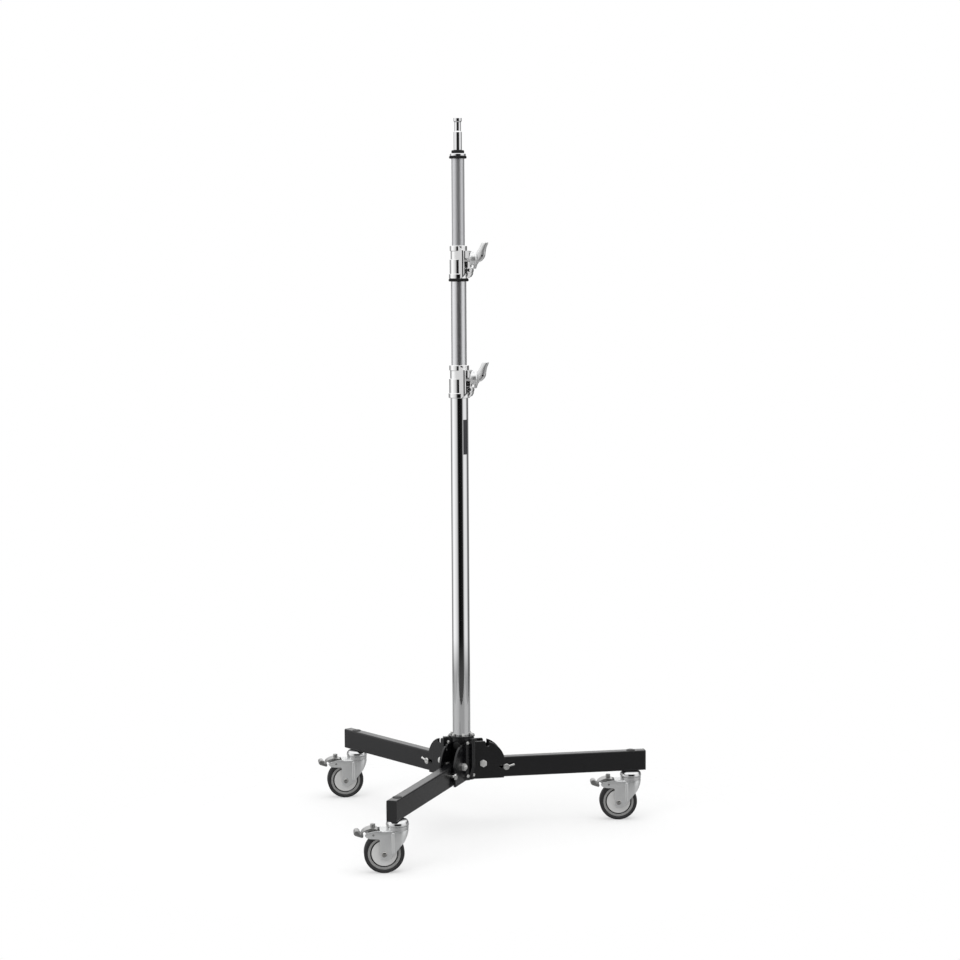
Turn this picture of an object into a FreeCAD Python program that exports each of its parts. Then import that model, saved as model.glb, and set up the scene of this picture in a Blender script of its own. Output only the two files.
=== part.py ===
import FreeCAD, Part
import math
import operator
import os
from types import SimpleNamespace

import Sketcher

# Folding three-legged roller stand with a telescopic column, millimetres, +Z up.
# The origin is the point of the floor under the column, and leg a points along +X.
# A leg is described in its own frame: u runs outwards along it, v across it, z up.

os.makedirs("parts", exist_ok=True)
doc = FreeCAD.newDocument("roller_stand")
sheet = doc.addObject("Spreadsheet::Sheet", "Sizes")

# Driving dimensions: name, value, and what it measures.
SIZES = [
    ("fit_gap", 0.1, "radial gap of parts that fit in each other"),
    ("slide_gap", 0.3, "gap between faces that pass each other"),
    ("column_dia", 35.0, "outside diameter of the column tube"),
    ("riser_one_dia", 30.0, "outside diameter of the lower riser"),
    ("riser_two_dia", 25.0, "outside diameter of the upper riser"),
    ("tube_wall", 1.5, "wall of the column and riser tubes"),
    ("column_length", 783.0, "length of the column tube"),
    ("riser_one_length", 834.0, "length of the lower riser tube"),
    ("riser_two_length", 850.0, "length of the upper riser tube"),
    ("riser_one_out", 162.0, "bare length of the lower riser in the pose shown"),
    ("riser_two_out", 167.0, "bare length of the upper riser in the pose shown"),
    ("foot_flange", 5.0, "thickness of the guide foot under a riser"),
    ("foot_plug", 10.0, "height of the foot's plug inside the tube"),
    ("caster_height", 100.0, "floor to the underside of a leg"),
    ("leg_width", 20.0, "leg tube across"),
    ("leg_depth", 40.0, "leg tube from bottom to top"),
    ("leg_wall", 2.0, "leg tube wall"),
    ("leg_corner", 2.5, "outside corner radius of the leg tube"),
    ("leg_reach", 373.0, "column axis to the outer face of a leg's end cap"),
    ("leg_lead", 10.0, "leg tube inwards of its pivot"),
    ("cap_thick", 2.3, "end cap outside the tube"),
    ("cap_plug", 12.0, "end cap inside the tube"),
    ("stem_setback", 29.0, "caster stem from the leg's end"),
    ("stem_dia", 10.0, "caster stem"),
    ("stem_bush_dia", 15.6, "bush welded inside the leg for the stem"),
    ("plug_depth", 6.0, "plug below the top face of the leg"),
    ("plug_dia", 15.0, "hole of the plug in the top face"),
    ("plug_lip", 1.2, "rim of the plug round its hole and above the leg"),
    ("hub_height", 84.0, "hub sleeve and side plates"),
    ("sleeve_wall", 5.9, "wall of the hub sleeve"),
    ("collar_lip", 2.5, "top flange of the sleeve past its wall"),
    ("collar_thick", 3.0, "top flange of the sleeve"),
    ("hub_screw_dia", 4.0, "screws of the hub"),
    ("hub_screw_length", 12.0, "screws below their heads"),
    ("hub_screw_head", 5.7, "head diameter, small beside the column"),
    ("hub_screw_head_height", 4.0, "head height"),
    ("web_screw_head", 6.0, "head of a side plate screw"),
    ("web_screw_head_height", 2.4, "its height"),
    ("web_screw_inset", 9.0, "side plate screws from the plate's top and bottom"),
    ("plate_thick", 4.0, "side plates"),
    ("plate_flange", 13.5, "flange of a side plate out from the sleeve"),
    ("plate_pair_gap", 0.3, "gap between two flanges back to back"),
    ("flange_taper", 29.0, "height of the slanted foot of a flange"),
    ("plate_reach", 42.0, "pivot to the outer edge of a side plate"),
    ("pivot_spacer", 3.0, "leg to side plate at the pivot"),
    ("spacer_dia", 18.0, "spacer ring at the pivot"),
    ("pivot_setback", 16.5, "pivot from the sleeve"),
    ("pivot_drop", 9.0, "pivot below the top of the leg"),
    ("pivot_dia", 8.0, "pivot bolt"),
    ("pivot_hex", 13.0, "pivot bolt head across flats"),
    ("pivot_head", 5.3, "pivot bolt head height"),
    ("pivot_nut", 6.5, "pivot nut height"),
    ("rim_radius", 44.0, "round rim of a side plate about the pivot"),
    ("lock_dia", 6.0, "lock pin"),
    ("lock_drop", 9.0, "lock pin below the pivot"),
    ("lock_seat", 36.0, "lock pin out from the pivot when it is home"),
    ("lock_slack", 0.5, "gap of the lock pin in its notch"),
    ("notch_flare", 3.0, "widening of a notch at the rim, each side"),
    ("lock_head_dia", 12.6, "head of the lock pin"),
    ("lock_head", 4.0, "its thickness"),
    ("lock_bar", 17.0, "finger bar of the lock pin"),
    ("lock_bar_dia", 4.0, "its diameter"),
    ("bumper_dia", 14.0, "rubber bumper of a folded leg"),
    ("wheel_dia", 75.0, "caster wheel"),
    ("wheel_width", 24.0, "tread width"),
    ("tread_depth", 7.2, "tread on the wheel's rim"),
    ("rim_band", 4.2, "raised band at the wheel's rim"),
    ("rim_groove", 2.6, "groove inside that band"),
    ("wheel_recess", 3.0, "depth of the groove"),
    ("wheel_boss_dia", 18.0, "boss of the wheel hub"),
    ("wheel_trail", 25.0, "wheel axle behind the stem"),
    ("axle_dia", 6.0, "wheel axle"),
    ("axle_head_dia", 11.0, "axle head"),
    ("axle_head", 2.2, "its height"),
    ("fork_inside", 29.0, "between the fork's cheeks"),
    ("fork_sheet", 2.5, "sheet of the fork"),
    ("fork_top", 81.5, "floor to the top of the fork's sheet"),
    ("fork_lip", 33.0, "fork's top plate past the stem"),
    ("fork_back", 3.5, "centre of the fork's round back behind the stem"),
    ("race_height", 6.0, "ring on top of the fork"),
    ("race_dia", 41.0, "that ring"),
    ("rib_proud", 1.0, "rib pressed in a cheek"),
    ("kingpin_dia", 8.0, "swivel pin"),
    ("kingpin_head_dia", 14.0, "its riveted head"),
    ("kingpin_head", 2.5, "its height"),
    ("dome_dia", 42.5, "dome over the swivel bearing"),
    ("pedal_width", 27.0, "brake pedal across"),
    ("pedal_pin_dia", 4.0, "brake pedal pin"),
    ("pedal_tip_dia", 11.8, "rounded end of the pedal"),
    ("pedal_tip_width", 22.0, "that end across"),
    ("pedal_post_dia", 9.0, "release button on the pedal"),
    ("pedal_post", 8.5, "its height"),
    ("clamp_height", 64.0, "clamp collar"),
    ("clamp_seat", 34.0, "tube inside the collar"),
    ("clamp_flange", 3.8, "collar flange past its tube"),
    ("clamp_body", 2.4, "collar body past its tube"),
    ("clamp_neck", 0.4, "collar neck past its tube"),
    ("clamp_rim", 2.1, "collar rim past its tube"),
    ("clamp_step", 1.0, "slanted steps between them"),
    ("block_side", 1.0, "flat sides of the collar's block past its tube"),
    ("block_round", 4.0, "its rounded upright edges"),
    ("knob_height", 40.0, "clamp screw above the collar's foot"),
    ("boss_dia", 16.0, "boss of the clamp screw"),
    ("boss_reach", 26.4, "boss past the axis"),
    ("screw_dia", 8.0, "clamp screw"),
    ("screw_reach", 36.0, "clamp screw past the axis"),
    ("eye_out", 23.6, "safety eye past the axis"),
    ("eye_up", 16.6, "safety eye above the collar's foot"),
    ("eye_dia", 6.4, "hole of the safety eye"),
    ("eye_wall", 3.2, "metal round that hole"),
    ("eye_thick", 10.0, "eye across"),
    ("knob_gap", 1.2, "knob past the boss"),
    ("knob_hub_dia", 28.0, "hub of the wing knob"),
    ("knob_hub", 13.0, "its length"),
    ("wing_thick", 13.0, "wing of the knob across"),
    ("wing_hole_dia", 3.4, "hole in the wing"),
    ("rest_ring", 5.0, "height of the rubber rest ring"),
    ("rest_ring_out", 4.5, "rest ring past its tube"),
    ("cap_flange", 5.0, "chrome cap on the upper riser"),
    ("cap_flange_out", 3.2, "cap past its tube"),
    ("cap_tail", 25.0, "cap inside the tube"),
    ("o_ring", 6.0, "height of the ring round the stud"),
    ("o_ring_out", 4.4, "that ring past the stud"),
    ("stud_dia", 16.0, "mounting stud"),
    ("stud_neck_dia", 13.0, "its neck"),
    ("stud_shank", 35.0, "its full-width length"),
    ("stud_neck", 20.0, "its neck length with both slopes"),
    ("stud_head", 7.0, "its head"),
    ("stud_slope", 1.5, "slopes at both ends of the neck"),
    ("stud_tail", 20.0, "stud's stem inside the cap"),
    ("stud_tail_dia", 14.0, "that stem"),
]

LEG_ANGLES = {"a": 0.0, "b": -120.0, "c": 120.0}
SIDES = {"left": 1.0, "right": -1.0}
CASTER_HEADINGS = {"a": 171.0, "b": 174.0, "c": 178.0}
CLAMP_HEADING = -32.0
OPERATIONS = {
    "+": operator.add,
    "-": operator.sub,
    "*": operator.mul,
    "/": operator.truediv,
}


class Size:
    """A size that keeps its value and the formula that gives it from the sheet."""

    def __init__(self, value, formula):
        self.value = value
        self.formula = formula

    def __add__(self, other):
        return joined(self, "+", other)

    def __radd__(self, other):
        return joined(other, "+", self)

    def __sub__(self, other):
        return joined(self, "-", other)

    def __rsub__(self, other):
        return joined(other, "-", self)

    def __mul__(self, other):
        return joined(self, "*", other)

    def __rmul__(self, other):
        return joined(other, "*", self)

    def __truediv__(self, other):
        return joined(self, "/", other)

    def __neg__(self):
        return joined(0.0, "-", self)


def as_size(thing):
    """A plain number as a size whose formula is that number."""
    if isinstance(thing, Size):
        return thing
    return Size(float(thing), repr(float(thing)))


def joined(first, sign, second):
    """Two sizes joined by an arithmetic sign."""
    first = as_size(first)
    second = as_size(second)
    value = OPERATIONS[sign](first.value, second.value)
    return Size(value, "(%s %s %s)" % (first.formula, sign, second.formula))


def root(size):
    """Square root of a size."""
    return Size(math.sqrt(size.value), "sqrt(%s)" % size.formula)


def cosine(degrees):
    """Cosine of a fixed angle."""
    return math.cos(math.radians(degrees))


def sine(degrees):
    """Sine of a fixed angle."""
    return math.sin(math.radians(degrees))


def bind(thing, name, size):
    """Tie a property to the sheet, or set it where it is a plain number."""
    if isinstance(size, Size):
        thing.setExpression(name, size.formula)
    else:
        setattr(thing, name, size)


for row, (name, value, meaning) in enumerate(SIZES, start=1):
    sheet.set("A%d" % row, name)
    sheet.set("B%d" % row, str(value))
    sheet.set("C%d" % row, meaning)
    sheet.setAlias("B%d" % row, name)
doc.recompute()
s = SimpleNamespace(**{name: Size(value, "Sizes." + name) for name, value, meaning in SIZES})


# Sketches, features and simple solids

UPRIGHT = FreeCAD.Vector(0, 0, 1)
KEPT = []


def keep(thing, name):
    """Give a finished sub-part its label and put it on the list of nodes."""
    thing.Label = name
    KEPT.append(thing)
    return thing


def place(thing, x, y, z, rotation):
    """Place a sub-part, with its position tied to the sheet."""
    corner = FreeCAD.Vector(as_size(x).value, as_size(y).value, as_size(z).value)
    thing.Placement = FreeCAD.Placement(corner, rotation)
    for letter, size in zip("xyz", (x, y, z)):
        if isinstance(size, Size):
            thing.setExpression("Placement.Base." + letter, size.formula)


def turned(degrees):
    """Rotation about the upright."""
    return FreeCAD.Rotation(UPRIGHT, degrees)


def new_body(name):
    """An empty body that becomes the sub-part of that name."""
    return keep(doc.addObject("PartDesign::Body", name), name)


def new_sketch(body, role, offset=0.0, swing=0.0):
    """A sketch on an origin plane, moved along its normal and swung about its upright."""
    sketch = body.newObject("Sketcher::SketchObject", body.Name + "_sketch")
    plane = [f for f in body.Origin.OriginFeatures if f.Role == role][0]
    sketch.AttachmentSupport = [(plane, "")]
    sketch.MapMode = "FlatFace"
    tilt = FreeCAD.Rotation(FreeCAD.Vector(0, 1, 0), swing)
    sketch.AttachmentOffset = FreeCAD.Placement(FreeCAD.Vector(), tilt)
    if isinstance(offset, Size):
        sketch.setExpression("AttachmentOffset.Base.x", (offset * sine(swing)).formula)
        sketch.setExpression("AttachmentOffset.Base.z", (offset * cosine(swing)).formula)
    return sketch


def hold(sketch, geometry, point, x, y):
    """Hold a point of the sketch at its two distances from the origin."""
    for kind, size, axis in (("DistanceX", x, -2), ("DistanceY", y, -1)):
        if isinstance(size, Size):
            rule = Sketcher.Constraint(kind, -1, 1, geometry, point, size.value)
            index = sketch.addConstraint(rule)
            sketch.setExpression("Constraints[%d]" % index, size.formula)
        else:
            sketch.addConstraint(Sketcher.Constraint("PointOnObject", geometry, point, axis))


def outline(sketch, corners):
    """A closed outline of straight edges through corners given as sizes, or 0 on an axis."""
    points = [FreeCAD.Vector(as_size(x).value, as_size(y).value, 0) for x, y in corners]
    first = sketch.GeometryCount
    count = len(points)
    for k in range(count):
        sketch.addGeometry(Part.LineSegment(points[k], points[(k + 1) % count]), False)
    for k in range(count):
        rule = Sketcher.Constraint("Coincident", first + k, 2, first + (k + 1) % count, 1)
        sketch.addConstraint(rule)
    for k, (x, y) in enumerate(corners):
        hold(sketch, first + k, 1, x, y)
    return sketch


def circle(sketch, x, y, radius):
    """A circle whose centre and radius are tied to the sheet."""
    centre = FreeCAD.Vector(as_size(x).value, as_size(y).value, 0)
    index = sketch.addGeometry(Part.Circle(centre, UPRIGHT, radius.value), False)
    hold(sketch, index, 3, x, y)
    rule = sketch.addConstraint(Sketcher.Constraint("Radius", index, radius.value))
    sketch.setExpression("Constraints[%d]" % rule, radius.formula)
    return sketch


def rectangle(x0, x1, y0, y1):
    """Corners of an upright rectangle."""
    return [(x0, y0), (x1, y0), (x1, y1), (x0, y1)]


def pad(body, sketch, length, middle=False):
    """Pad a sketch along its normal, or evenly both ways."""
    feature = body.newObject("PartDesign::Pad", body.Name + "_pad")
    feature.Profile = sketch
    bind(feature, "Length", length)
    feature.Midplane = middle
    return feature


def pocket(body, sketch, depth=None, forward=False):
    """Cut a sketch through the whole body both ways, or to a depth one way."""
    feature = body.newObject("PartDesign::Pocket", body.Name + "_pocket")
    feature.Profile = sketch
    if depth is None:
        feature.Type = "ThroughAll"
        feature.Midplane = True
    else:
        bind(feature, "Length", depth)
        feature.Reversed = forward
    return feature


def slot(body, sketch, width):
    """Cut a sketch evenly both ways from its plane, to a total width."""
    feature = pocket(body, sketch, width)
    feature.Midplane = True
    return feature


def revolve(body, corners):
    """Turn an outline of radius and height about the body's upright axis."""
    sketch = outline(new_sketch(body, "XZ_Plane"), corners)
    feature = body.newObject("PartDesign::Revolution", body.Name + "_turned")
    feature.Profile = sketch
    feature.ReferenceAxis = (sketch, ["V_Axis"])
    feature.Angle = 360.0
    return feature


def round_edges(body, feature, direction, keeps, radius):
    """Round the feature's straight edges along a direction that the test keeps."""
    doc.recompute()
    names = []
    for index, edge in enumerate(feature.Shape.Edges, start=1):
        if edge.Curve.TypeId != "Part::GeomLine" or len(edge.Vertexes) < 2:
            continue
        along = abs(edge.Curve.Direction.dot(direction)) > 0.999
        if along and keeps(edge.CenterOfMass):
            names.append("Edge%d" % index)
    fillet = body.newObject("PartDesign::Fillet", body.Name + "_round")
    fillet.Base = (feature, names)
    bind(fillet, "Radius", radius)
    return fillet


def rod(radius, length, start, direction):
    """A cylinder from a start point along a direction."""
    thing = doc.addObject("Part::Cylinder", "rod")
    bind(thing, "Radius", radius)
    bind(thing, "Height", length)
    place(thing, *start, FreeCAD.Rotation(UPRIGHT, direction))
    return thing


HALF_HEXAGON_CORNER = 30.0


def hexagon(flats, length, start, direction):
    """A hexagon prism of a width across flats."""
    thing = doc.addObject("Part::Prism", "hexagon")
    thing.Polygon = 6
    bind(thing, "Circumradius", flats / 2 / cosine(HALF_HEXAGON_CORNER))
    bind(thing, "Height", length)
    place(thing, *start, FreeCAD.Rotation(UPRIGHT, direction))
    return thing


def joined_solids(things):
    """Several overlapping solids as one."""
    thing = doc.addObject("Part::MultiFuse", "joined")
    thing.Shapes = things
    thing.Refine = True
    return thing


def cut_solid(base, tool):
    """One solid less another."""
    thing = doc.addObject("Part::Cut", "cut")
    thing.Base = base
    thing.Tool = tool
    return thing


def group(name, things):
    """Like solids that share a node."""
    thing = doc.addObject("Part::Compound", name)
    thing.Links = things
    return keep(thing, name)


def ring(name, inner, outer, bottom, height, bevel):
    """A turned ring with its outer edges bevelled."""
    body = new_body(name)
    top = bottom + height
    revolve(body, [
        (inner, bottom),
        (outer - bevel, bottom),
        (outer, bottom + bevel),
        (outer, top - bevel),
        (outer - bevel, top),
        (inner, top),
    ])
    return body


ALONG_U = FreeCAD.Vector(1, 0, 0)
ALONG_V = FreeCAD.Vector(0, 1, 0)
AGAINST_V = FreeCAD.Vector(0, -1, 0)

# Places that several pieces share

leg_top = s.caster_height + s.leg_depth
hub_bottom = s.caster_height
hub_top = hub_bottom + s.hub_height
sleeve_inner = s.column_dia / 2 + s.fit_gap
sleeve_outer = sleeve_inner + s.sleeve_wall
pivot_u = sleeve_outer + s.pivot_setback
pivot_z = leg_top - s.pivot_drop
plate_inner = s.leg_width / 2 + s.pivot_spacer
plate_outer = plate_inner + s.plate_thick
pivot_hole = s.pivot_dia / 2 + s.fit_gap
lock_radius = s.lock_dia / 2
lock_clear = s.rim_radius + lock_radius + s.slide_gap
lock_rest = root(lock_clear * lock_clear - s.lock_drop * s.lock_drop)
stem_u = s.leg_reach - s.stem_setback
wheel_radius = s.wheel_dia / 2
cheek_outer = s.fork_inside / 2 + s.fork_sheet


# Hub: a steel sleeve round the column with a flange on top, held by cap screws.
# Screws from the side plates enter its wall.

WEB_SWING = 45.0
SOCKET_SHARE = 0.7
HUB_SCREW_ANGLES = [30.0 + 60.0 * k for k in range(6)]

web_outer = sleeve_outer + s.plate_thick + s.fit_gap + s.slide_gap
web_screw_tip = sleeve_inner + s.sleeve_wall / 4
web_heights = [hub_bottom + s.web_screw_inset, hub_top - s.web_screw_inset]
screw_circle = (sleeve_inner + sleeve_outer) / 2
flange_top = hub_top + s.collar_thick

body = new_body("hub_sleeve")
revolve(body, [
    (sleeve_inner, hub_bottom),
    (sleeve_outer, hub_bottom),
    (sleeve_outer, hub_top),
    (sleeve_outer + s.collar_lip, hub_top),
    (sleeve_outer + s.collar_lip, flange_top),
    (sleeve_inner, flange_top),
])
sketch = new_sketch(body, "XY_Plane", flange_top)
for angle in HUB_SCREW_ANGLES:
    x = screw_circle * cosine(angle)
    y = screw_circle * sine(angle)
    circle(sketch, x, y, s.hub_screw_dia / 2 + s.fit_gap)
pocket(body, sketch, s.hub_screw_length + s.fit_gap)
for leg_angle in LEG_ANGLES.values():
    for side in SIDES.values():
        swing = 90.0 + side * WEB_SWING + leg_angle
        sketch = new_sketch(body, "XZ_Plane", 0.0, swing)
        for height in web_heights:
            circle(sketch, 0, height, s.hub_screw_dia / 2 + s.fit_gap)
        pocket(body, sketch, sleeve_outer + s.sleeve_wall, forward=True)

screws = []
for angle in HUB_SCREW_ANGLES:
    x = screw_circle * cosine(angle)
    y = screw_circle * sine(angle)
    shank_foot = flange_top - s.hub_screw_length
    shank = rod(s.hub_screw_dia / 2, s.hub_screw_length, (x, y, shank_foot), UPRIGHT)
    head_radius = s.hub_screw_head / 2
    head = rod(head_radius, s.hub_screw_head_height, (x, y, flange_top), UPRIGHT)
    socket = hexagon(s.hub_screw_dia * SOCKET_SHARE, s.hub_screw_head_height,
                     (x, y, flange_top + s.hub_screw_head_height / 2), UPRIGHT)
    screws.append(cut_solid(joined_solids([shank, head]), socket))
group("hub_screws", screws)


# Side plates: pressed steel, one each side of each leg.
# A plate's wing carries the leg's pivot and two lock notches. Its web bends round the sleeve
# to a flange that stands out between two legs, back to back with its neighbour's.

FLANGE_SWING = 60.0
NOTCH_CORNER_SHARE = 0.42


def swung(length, swing):
    """The point at a length along a direction swung from leg a."""
    return length * cosine(swing), length * sine(swing)


def on_flange(length, depth, side):
    """A point along the flange's line, at a depth from it towards the leg."""
    u = length * cosine(FLANGE_SWING) + depth * sine(FLANGE_SWING)
    v = length * sine(FLANGE_SWING) - depth * cosine(FLANGE_SWING)
    return u, v * side


def notch(reach, drop, flat):
    """Corners of a lock notch as distances from the pivot, for a leg that is down."""
    half = lock_radius + s.lock_slack
    cut = half * NOTCH_CORNER_SHARE
    mouth = s.rim_radius - s.notch_flare
    outside = s.rim_radius + s.notch_flare
    wide = half + s.notch_flare
    upper = [(reach - half, cut), (reach - cut, half), (mouth, half), (outside, wide)]
    lower = [(out, -up) for out, up in reversed(upper)]
    shape = [(out, up - drop) for out, up in upper + lower]
    if flat:
        return [(pivot_u + out, pivot_z + up) for out, up in shape]
    return [(pivot_u - up, pivot_z + out) for out, up in shape]


def side_plate(leg, side_name):
    """One side plate in its leg's frame, then turned to its leg."""
    side = SIDES[side_name]
    body = new_body("side_plate_%s_%s" % (leg, side_name))
    if side > 0:
        wing_plane = -plate_outer
        flange_plane = s.plate_pair_gap / 2
    else:
        wing_plane = plate_inner
        flange_plane = -(s.plate_pair_gap / 2 + s.plate_thick)
    wing_top = pivot_z + s.rim_radius - s.fit_gap
    wing_end = pivot_u + s.plate_reach
    web_inner = sleeve_outer + s.slide_gap
    wing_start = (web_inner - plate_inner * sine(WEB_SWING)) / cosine(WEB_SWING)
    web_corner = (web_outer - plate_outer * sine(WEB_SWING)) / cosine(WEB_SWING)

    wing = new_sketch(body, "XZ_Plane", wing_plane)
    outline(wing, [
        (wing_start, hub_bottom),
        (wing_end, hub_bottom),
        (wing_end, pivot_z),
        (pivot_u, wing_top),
        (wing_start, wing_top),
    ])
    pad(body, wing, s.plate_thick)
    disc = circle(new_sketch(body, "XZ_Plane", wing_plane), pivot_u, pivot_z, s.rim_radius)
    pad(body, disc, s.plate_thick)
    inwards = new_sketch(body, "XZ_Plane")
    outline(inwards, rectangle(
        wing_start - s.rim_radius, wing_start,
        pivot_z - s.rim_radius * 2, pivot_z + s.rim_radius * 2))
    pocket(body, inwards)

    web = new_sketch(body, "XY_Plane", hub_bottom)
    depth = (s.plate_pair_gap + s.plate_thick) / 2
    lean = cosine(FLANGE_SWING - WEB_SWING)
    drift = depth * sine(FLANGE_SWING - WEB_SWING)
    outline(web, [
        (wing_start, plate_inner * side),
        (web_corner, plate_outer * side),
        on_flange((web_outer - drift) / lean, depth, side),
        on_flange((web_inner - drift) / lean, depth, side),
    ])
    pad(body, web, s.hub_height)

    flange = new_sketch(body, "XZ_Plane", flange_plane, side * FLANGE_SWING)
    flange_start = sleeve_outer + s.slide_gap
    flange_end = sleeve_outer + s.plate_flange
    outline(flange, [
        (flange_start, hub_bottom),
        (flange_start + s.plate_thick / 2, hub_bottom),
        (flange_end, hub_bottom + s.flange_taper),
        (flange_end, hub_top),
        (flange_start, hub_top),
    ])
    pad(body, flange, s.plate_thick)

    below = new_sketch(body, "XZ_Plane")
    outline(below, rectangle(
        pivot_u - s.rim_radius - s.plate_thick,
        pivot_u + s.rim_radius + s.plate_thick,
        hub_bottom - s.rim_radius,
        hub_bottom,
    ))
    pocket(body, below)
    holes = circle(new_sketch(body, "XZ_Plane"), pivot_u, pivot_z, pivot_hole)
    pocket(body, holes)
    for flat in (True, False):
        corners = notch(s.lock_seat, s.lock_drop, flat)
        pocket(body, outline(new_sketch(body, "XZ_Plane"), corners))
    screw_holes = new_sketch(body, "XZ_Plane", 0.0, 90.0 + side * WEB_SWING)
    for height in web_heights:
        circle(screw_holes, 0, height, s.hub_screw_dia / 2 + s.fit_gap)
    pocket(body, screw_holes, web_outer + s.plate_thick, forward=True)
    place(body, 0.0, 0.0, 0.0, turned(LEG_ANGLES[leg]))


for leg in LEG_ANGLES:
    for side_name in SIDES:
        side_plate(leg, side_name)

screws = []
for leg_angle in LEG_ANGLES.values():
    for side in SIDES.values():
        angle = leg_angle + side * WEB_SWING
        outwards = FreeCAD.Vector(cosine(angle), sine(angle), 0)
        for height in web_heights:
            start_x, start_y = swung(web_screw_tip, angle)
            shank = rod(s.hub_screw_dia / 2, web_outer - web_screw_tip + s.fit_gap,
                        (start_x, start_y, height), outwards)
            head_x, head_y = swung(web_outer, angle)
            head = rod(s.web_screw_head / 2, s.web_screw_head_height,
                       (head_x, head_y, height), outwards)
            screws.append(joined_solids([shank, head]))
group("plate_screws", screws)


# Pivots: a hex bolt and nut through the two plates and the leg, with a spacer ring
# each side of the leg. A rubber bumper on the sleeve stops the leg when it is folded.


def for_each_leg(make):
    """The solids that a function makes in the leg's frame, turned to each leg."""
    solids = []
    for angle in LEG_ANGLES.values():
        for solid in make():
            place(solid, 0.0, 0.0, 0.0, turned(angle))
            solids.append(solid)
    return solids


def pivot_bolt():
    """Bolt head on the right-hand plate and shank to past the nut."""
    length = plate_outer * 2 + s.pivot_nut + s.plate_thick / 2
    shank = rod(s.pivot_dia / 2, length, (pivot_u, -plate_outer, pivot_z), ALONG_V)
    head = hexagon(s.pivot_hex, s.pivot_head, (pivot_u, -plate_outer, pivot_z), AGAINST_V)
    return [joined_solids([shank, head])]


def pivot_nut():
    """Hex nut on the left-hand plate."""
    nut = hexagon(s.pivot_hex, s.pivot_nut, (pivot_u, plate_outer, pivot_z), ALONG_V)
    bore = rod(pivot_hole, s.pivot_nut, (pivot_u, plate_outer, pivot_z), ALONG_V)
    return [cut_solid(nut, bore)]


def pivot_spacers():
    """Ring between the leg and each plate."""
    rings = []
    length = s.pivot_spacer - s.fit_gap
    for start in (plate_inner - length, -plate_inner):
        outer = rod(s.spacer_dia / 2, length, (pivot_u, start, pivot_z), ALONG_V)
        bore = rod(pivot_hole, length, (pivot_u, start, pivot_z), ALONG_V)
        rings.append(cut_solid(outer, bore))
    return rings


def leg_bumper():
    """Rubber button on the sleeve that the folded leg leans on."""
    folded_face = pivot_u - s.pivot_drop - s.slide_gap
    seat = root(sleeve_outer * sleeve_outer - s.bumper_dia * s.bumper_dia / 4)
    height = hub_top - s.bumper_dia
    button = rod(s.bumper_dia / 2, folded_face - seat, (seat, 0.0, height), ALONG_U)
    hollow = rod(sleeve_outer + s.fit_gap, s.bumper_dia * 2,
                 (0.0, 0.0, height - s.bumper_dia), UPRIGHT)
    return [cut_solid(button, hollow)]


group("pivot_bolts", for_each_leg(pivot_bolt))
group("pivot_nuts", for_each_leg(pivot_nut))
group("pivot_spacers", for_each_leg(pivot_spacers))
group("leg_bumpers", for_each_leg(leg_bumper))


# Legs: rectangular steel tube with a cross bush at the pivot, a slot for the lock pin
# and an upright bush for the caster stem, closed by a plastic end cap and a top plug.

leg_start = pivot_u - s.leg_lead
leg_end = s.leg_reach - s.cap_thick
half_width = s.leg_width / 2
half_inside = half_width - s.leg_wall


def leg_tube(leg):
    """Leg tube with its bushes, slot and holes."""
    body = new_body("leg_tube_" + leg)
    section = new_sketch(body, "YZ_Plane", leg_start)
    outline(section, rectangle(-half_width, half_width, s.caster_height, leg_top))
    tube = pad(body, section, leg_end - leg_start)
    round_edges(body, tube, ALONG_U, lambda centre: True, s.leg_corner)
    hollow = new_sketch(body, "YZ_Plane")
    outline(hollow, rectangle(
        -half_inside, half_inside, s.caster_height + s.leg_wall, leg_top - s.leg_wall))
    pocket(body, hollow)
    bush = circle(new_sketch(body, "XZ_Plane"), pivot_u, pivot_z, s.pivot_dia - s.fit_gap)
    pad(body, bush, s.leg_width - s.leg_wall, middle=True)
    stem_bush_foot = s.caster_height + s.leg_wall / 2
    stem_bush = new_sketch(body, "XY_Plane", stem_bush_foot)
    circle(stem_bush, stem_u, 0, s.stem_bush_dia / 2)
    pad(body, stem_bush, leg_top - s.plug_depth - stem_bush_foot)
    holes = circle(new_sketch(body, "XZ_Plane"), pivot_u, pivot_z, pivot_hole)
    half_slot = lock_radius + s.lock_slack
    lock_z = pivot_z - s.lock_drop
    outline(holes, rectangle(
        pivot_u + s.lock_seat - half_slot, pivot_u + lock_rest + half_slot,
        lock_z - half_slot, lock_z + half_slot))
    pocket(body, holes)
    stem_hole = new_sketch(body, "XY_Plane", s.caster_height)
    circle(stem_hole, stem_u, 0, s.stem_dia / 2 + s.fit_gap)
    pocket(body, stem_hole)
    plug_hole = new_sketch(body, "XY_Plane", leg_top)
    circle(plug_hole, stem_u, 0, s.plug_dia / 2)
    pocket(body, plug_hole, s.plug_depth)
    place(body, 0.0, 0.0, 0.0, turned(LEG_ANGLES[leg]))


def leg_end_cap(leg):
    """Plastic cap pushed into the open end of the leg."""
    body = new_body("leg_end_cap_" + leg)
    face = new_sketch(body, "YZ_Plane", leg_end)
    outline(face, rectangle(-half_width, half_width, s.caster_height, leg_top))
    plate = pad(body, face, s.cap_thick)
    round_edges(body, plate, ALONG_U, lambda centre: True, s.leg_corner)
    tail = new_sketch(body, "YZ_Plane", leg_end - s.cap_plug)
    inset = s.leg_wall + s.fit_gap
    outline(tail, rectangle(
        s.fit_gap - half_inside, half_inside - s.fit_gap,
        s.caster_height + inset, leg_top - inset))
    pad(body, tail, s.cap_plug + s.cap_thick / 2)
    place(body, 0.0, 0.0, 0.0, turned(LEG_ANGLES[leg]))


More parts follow.
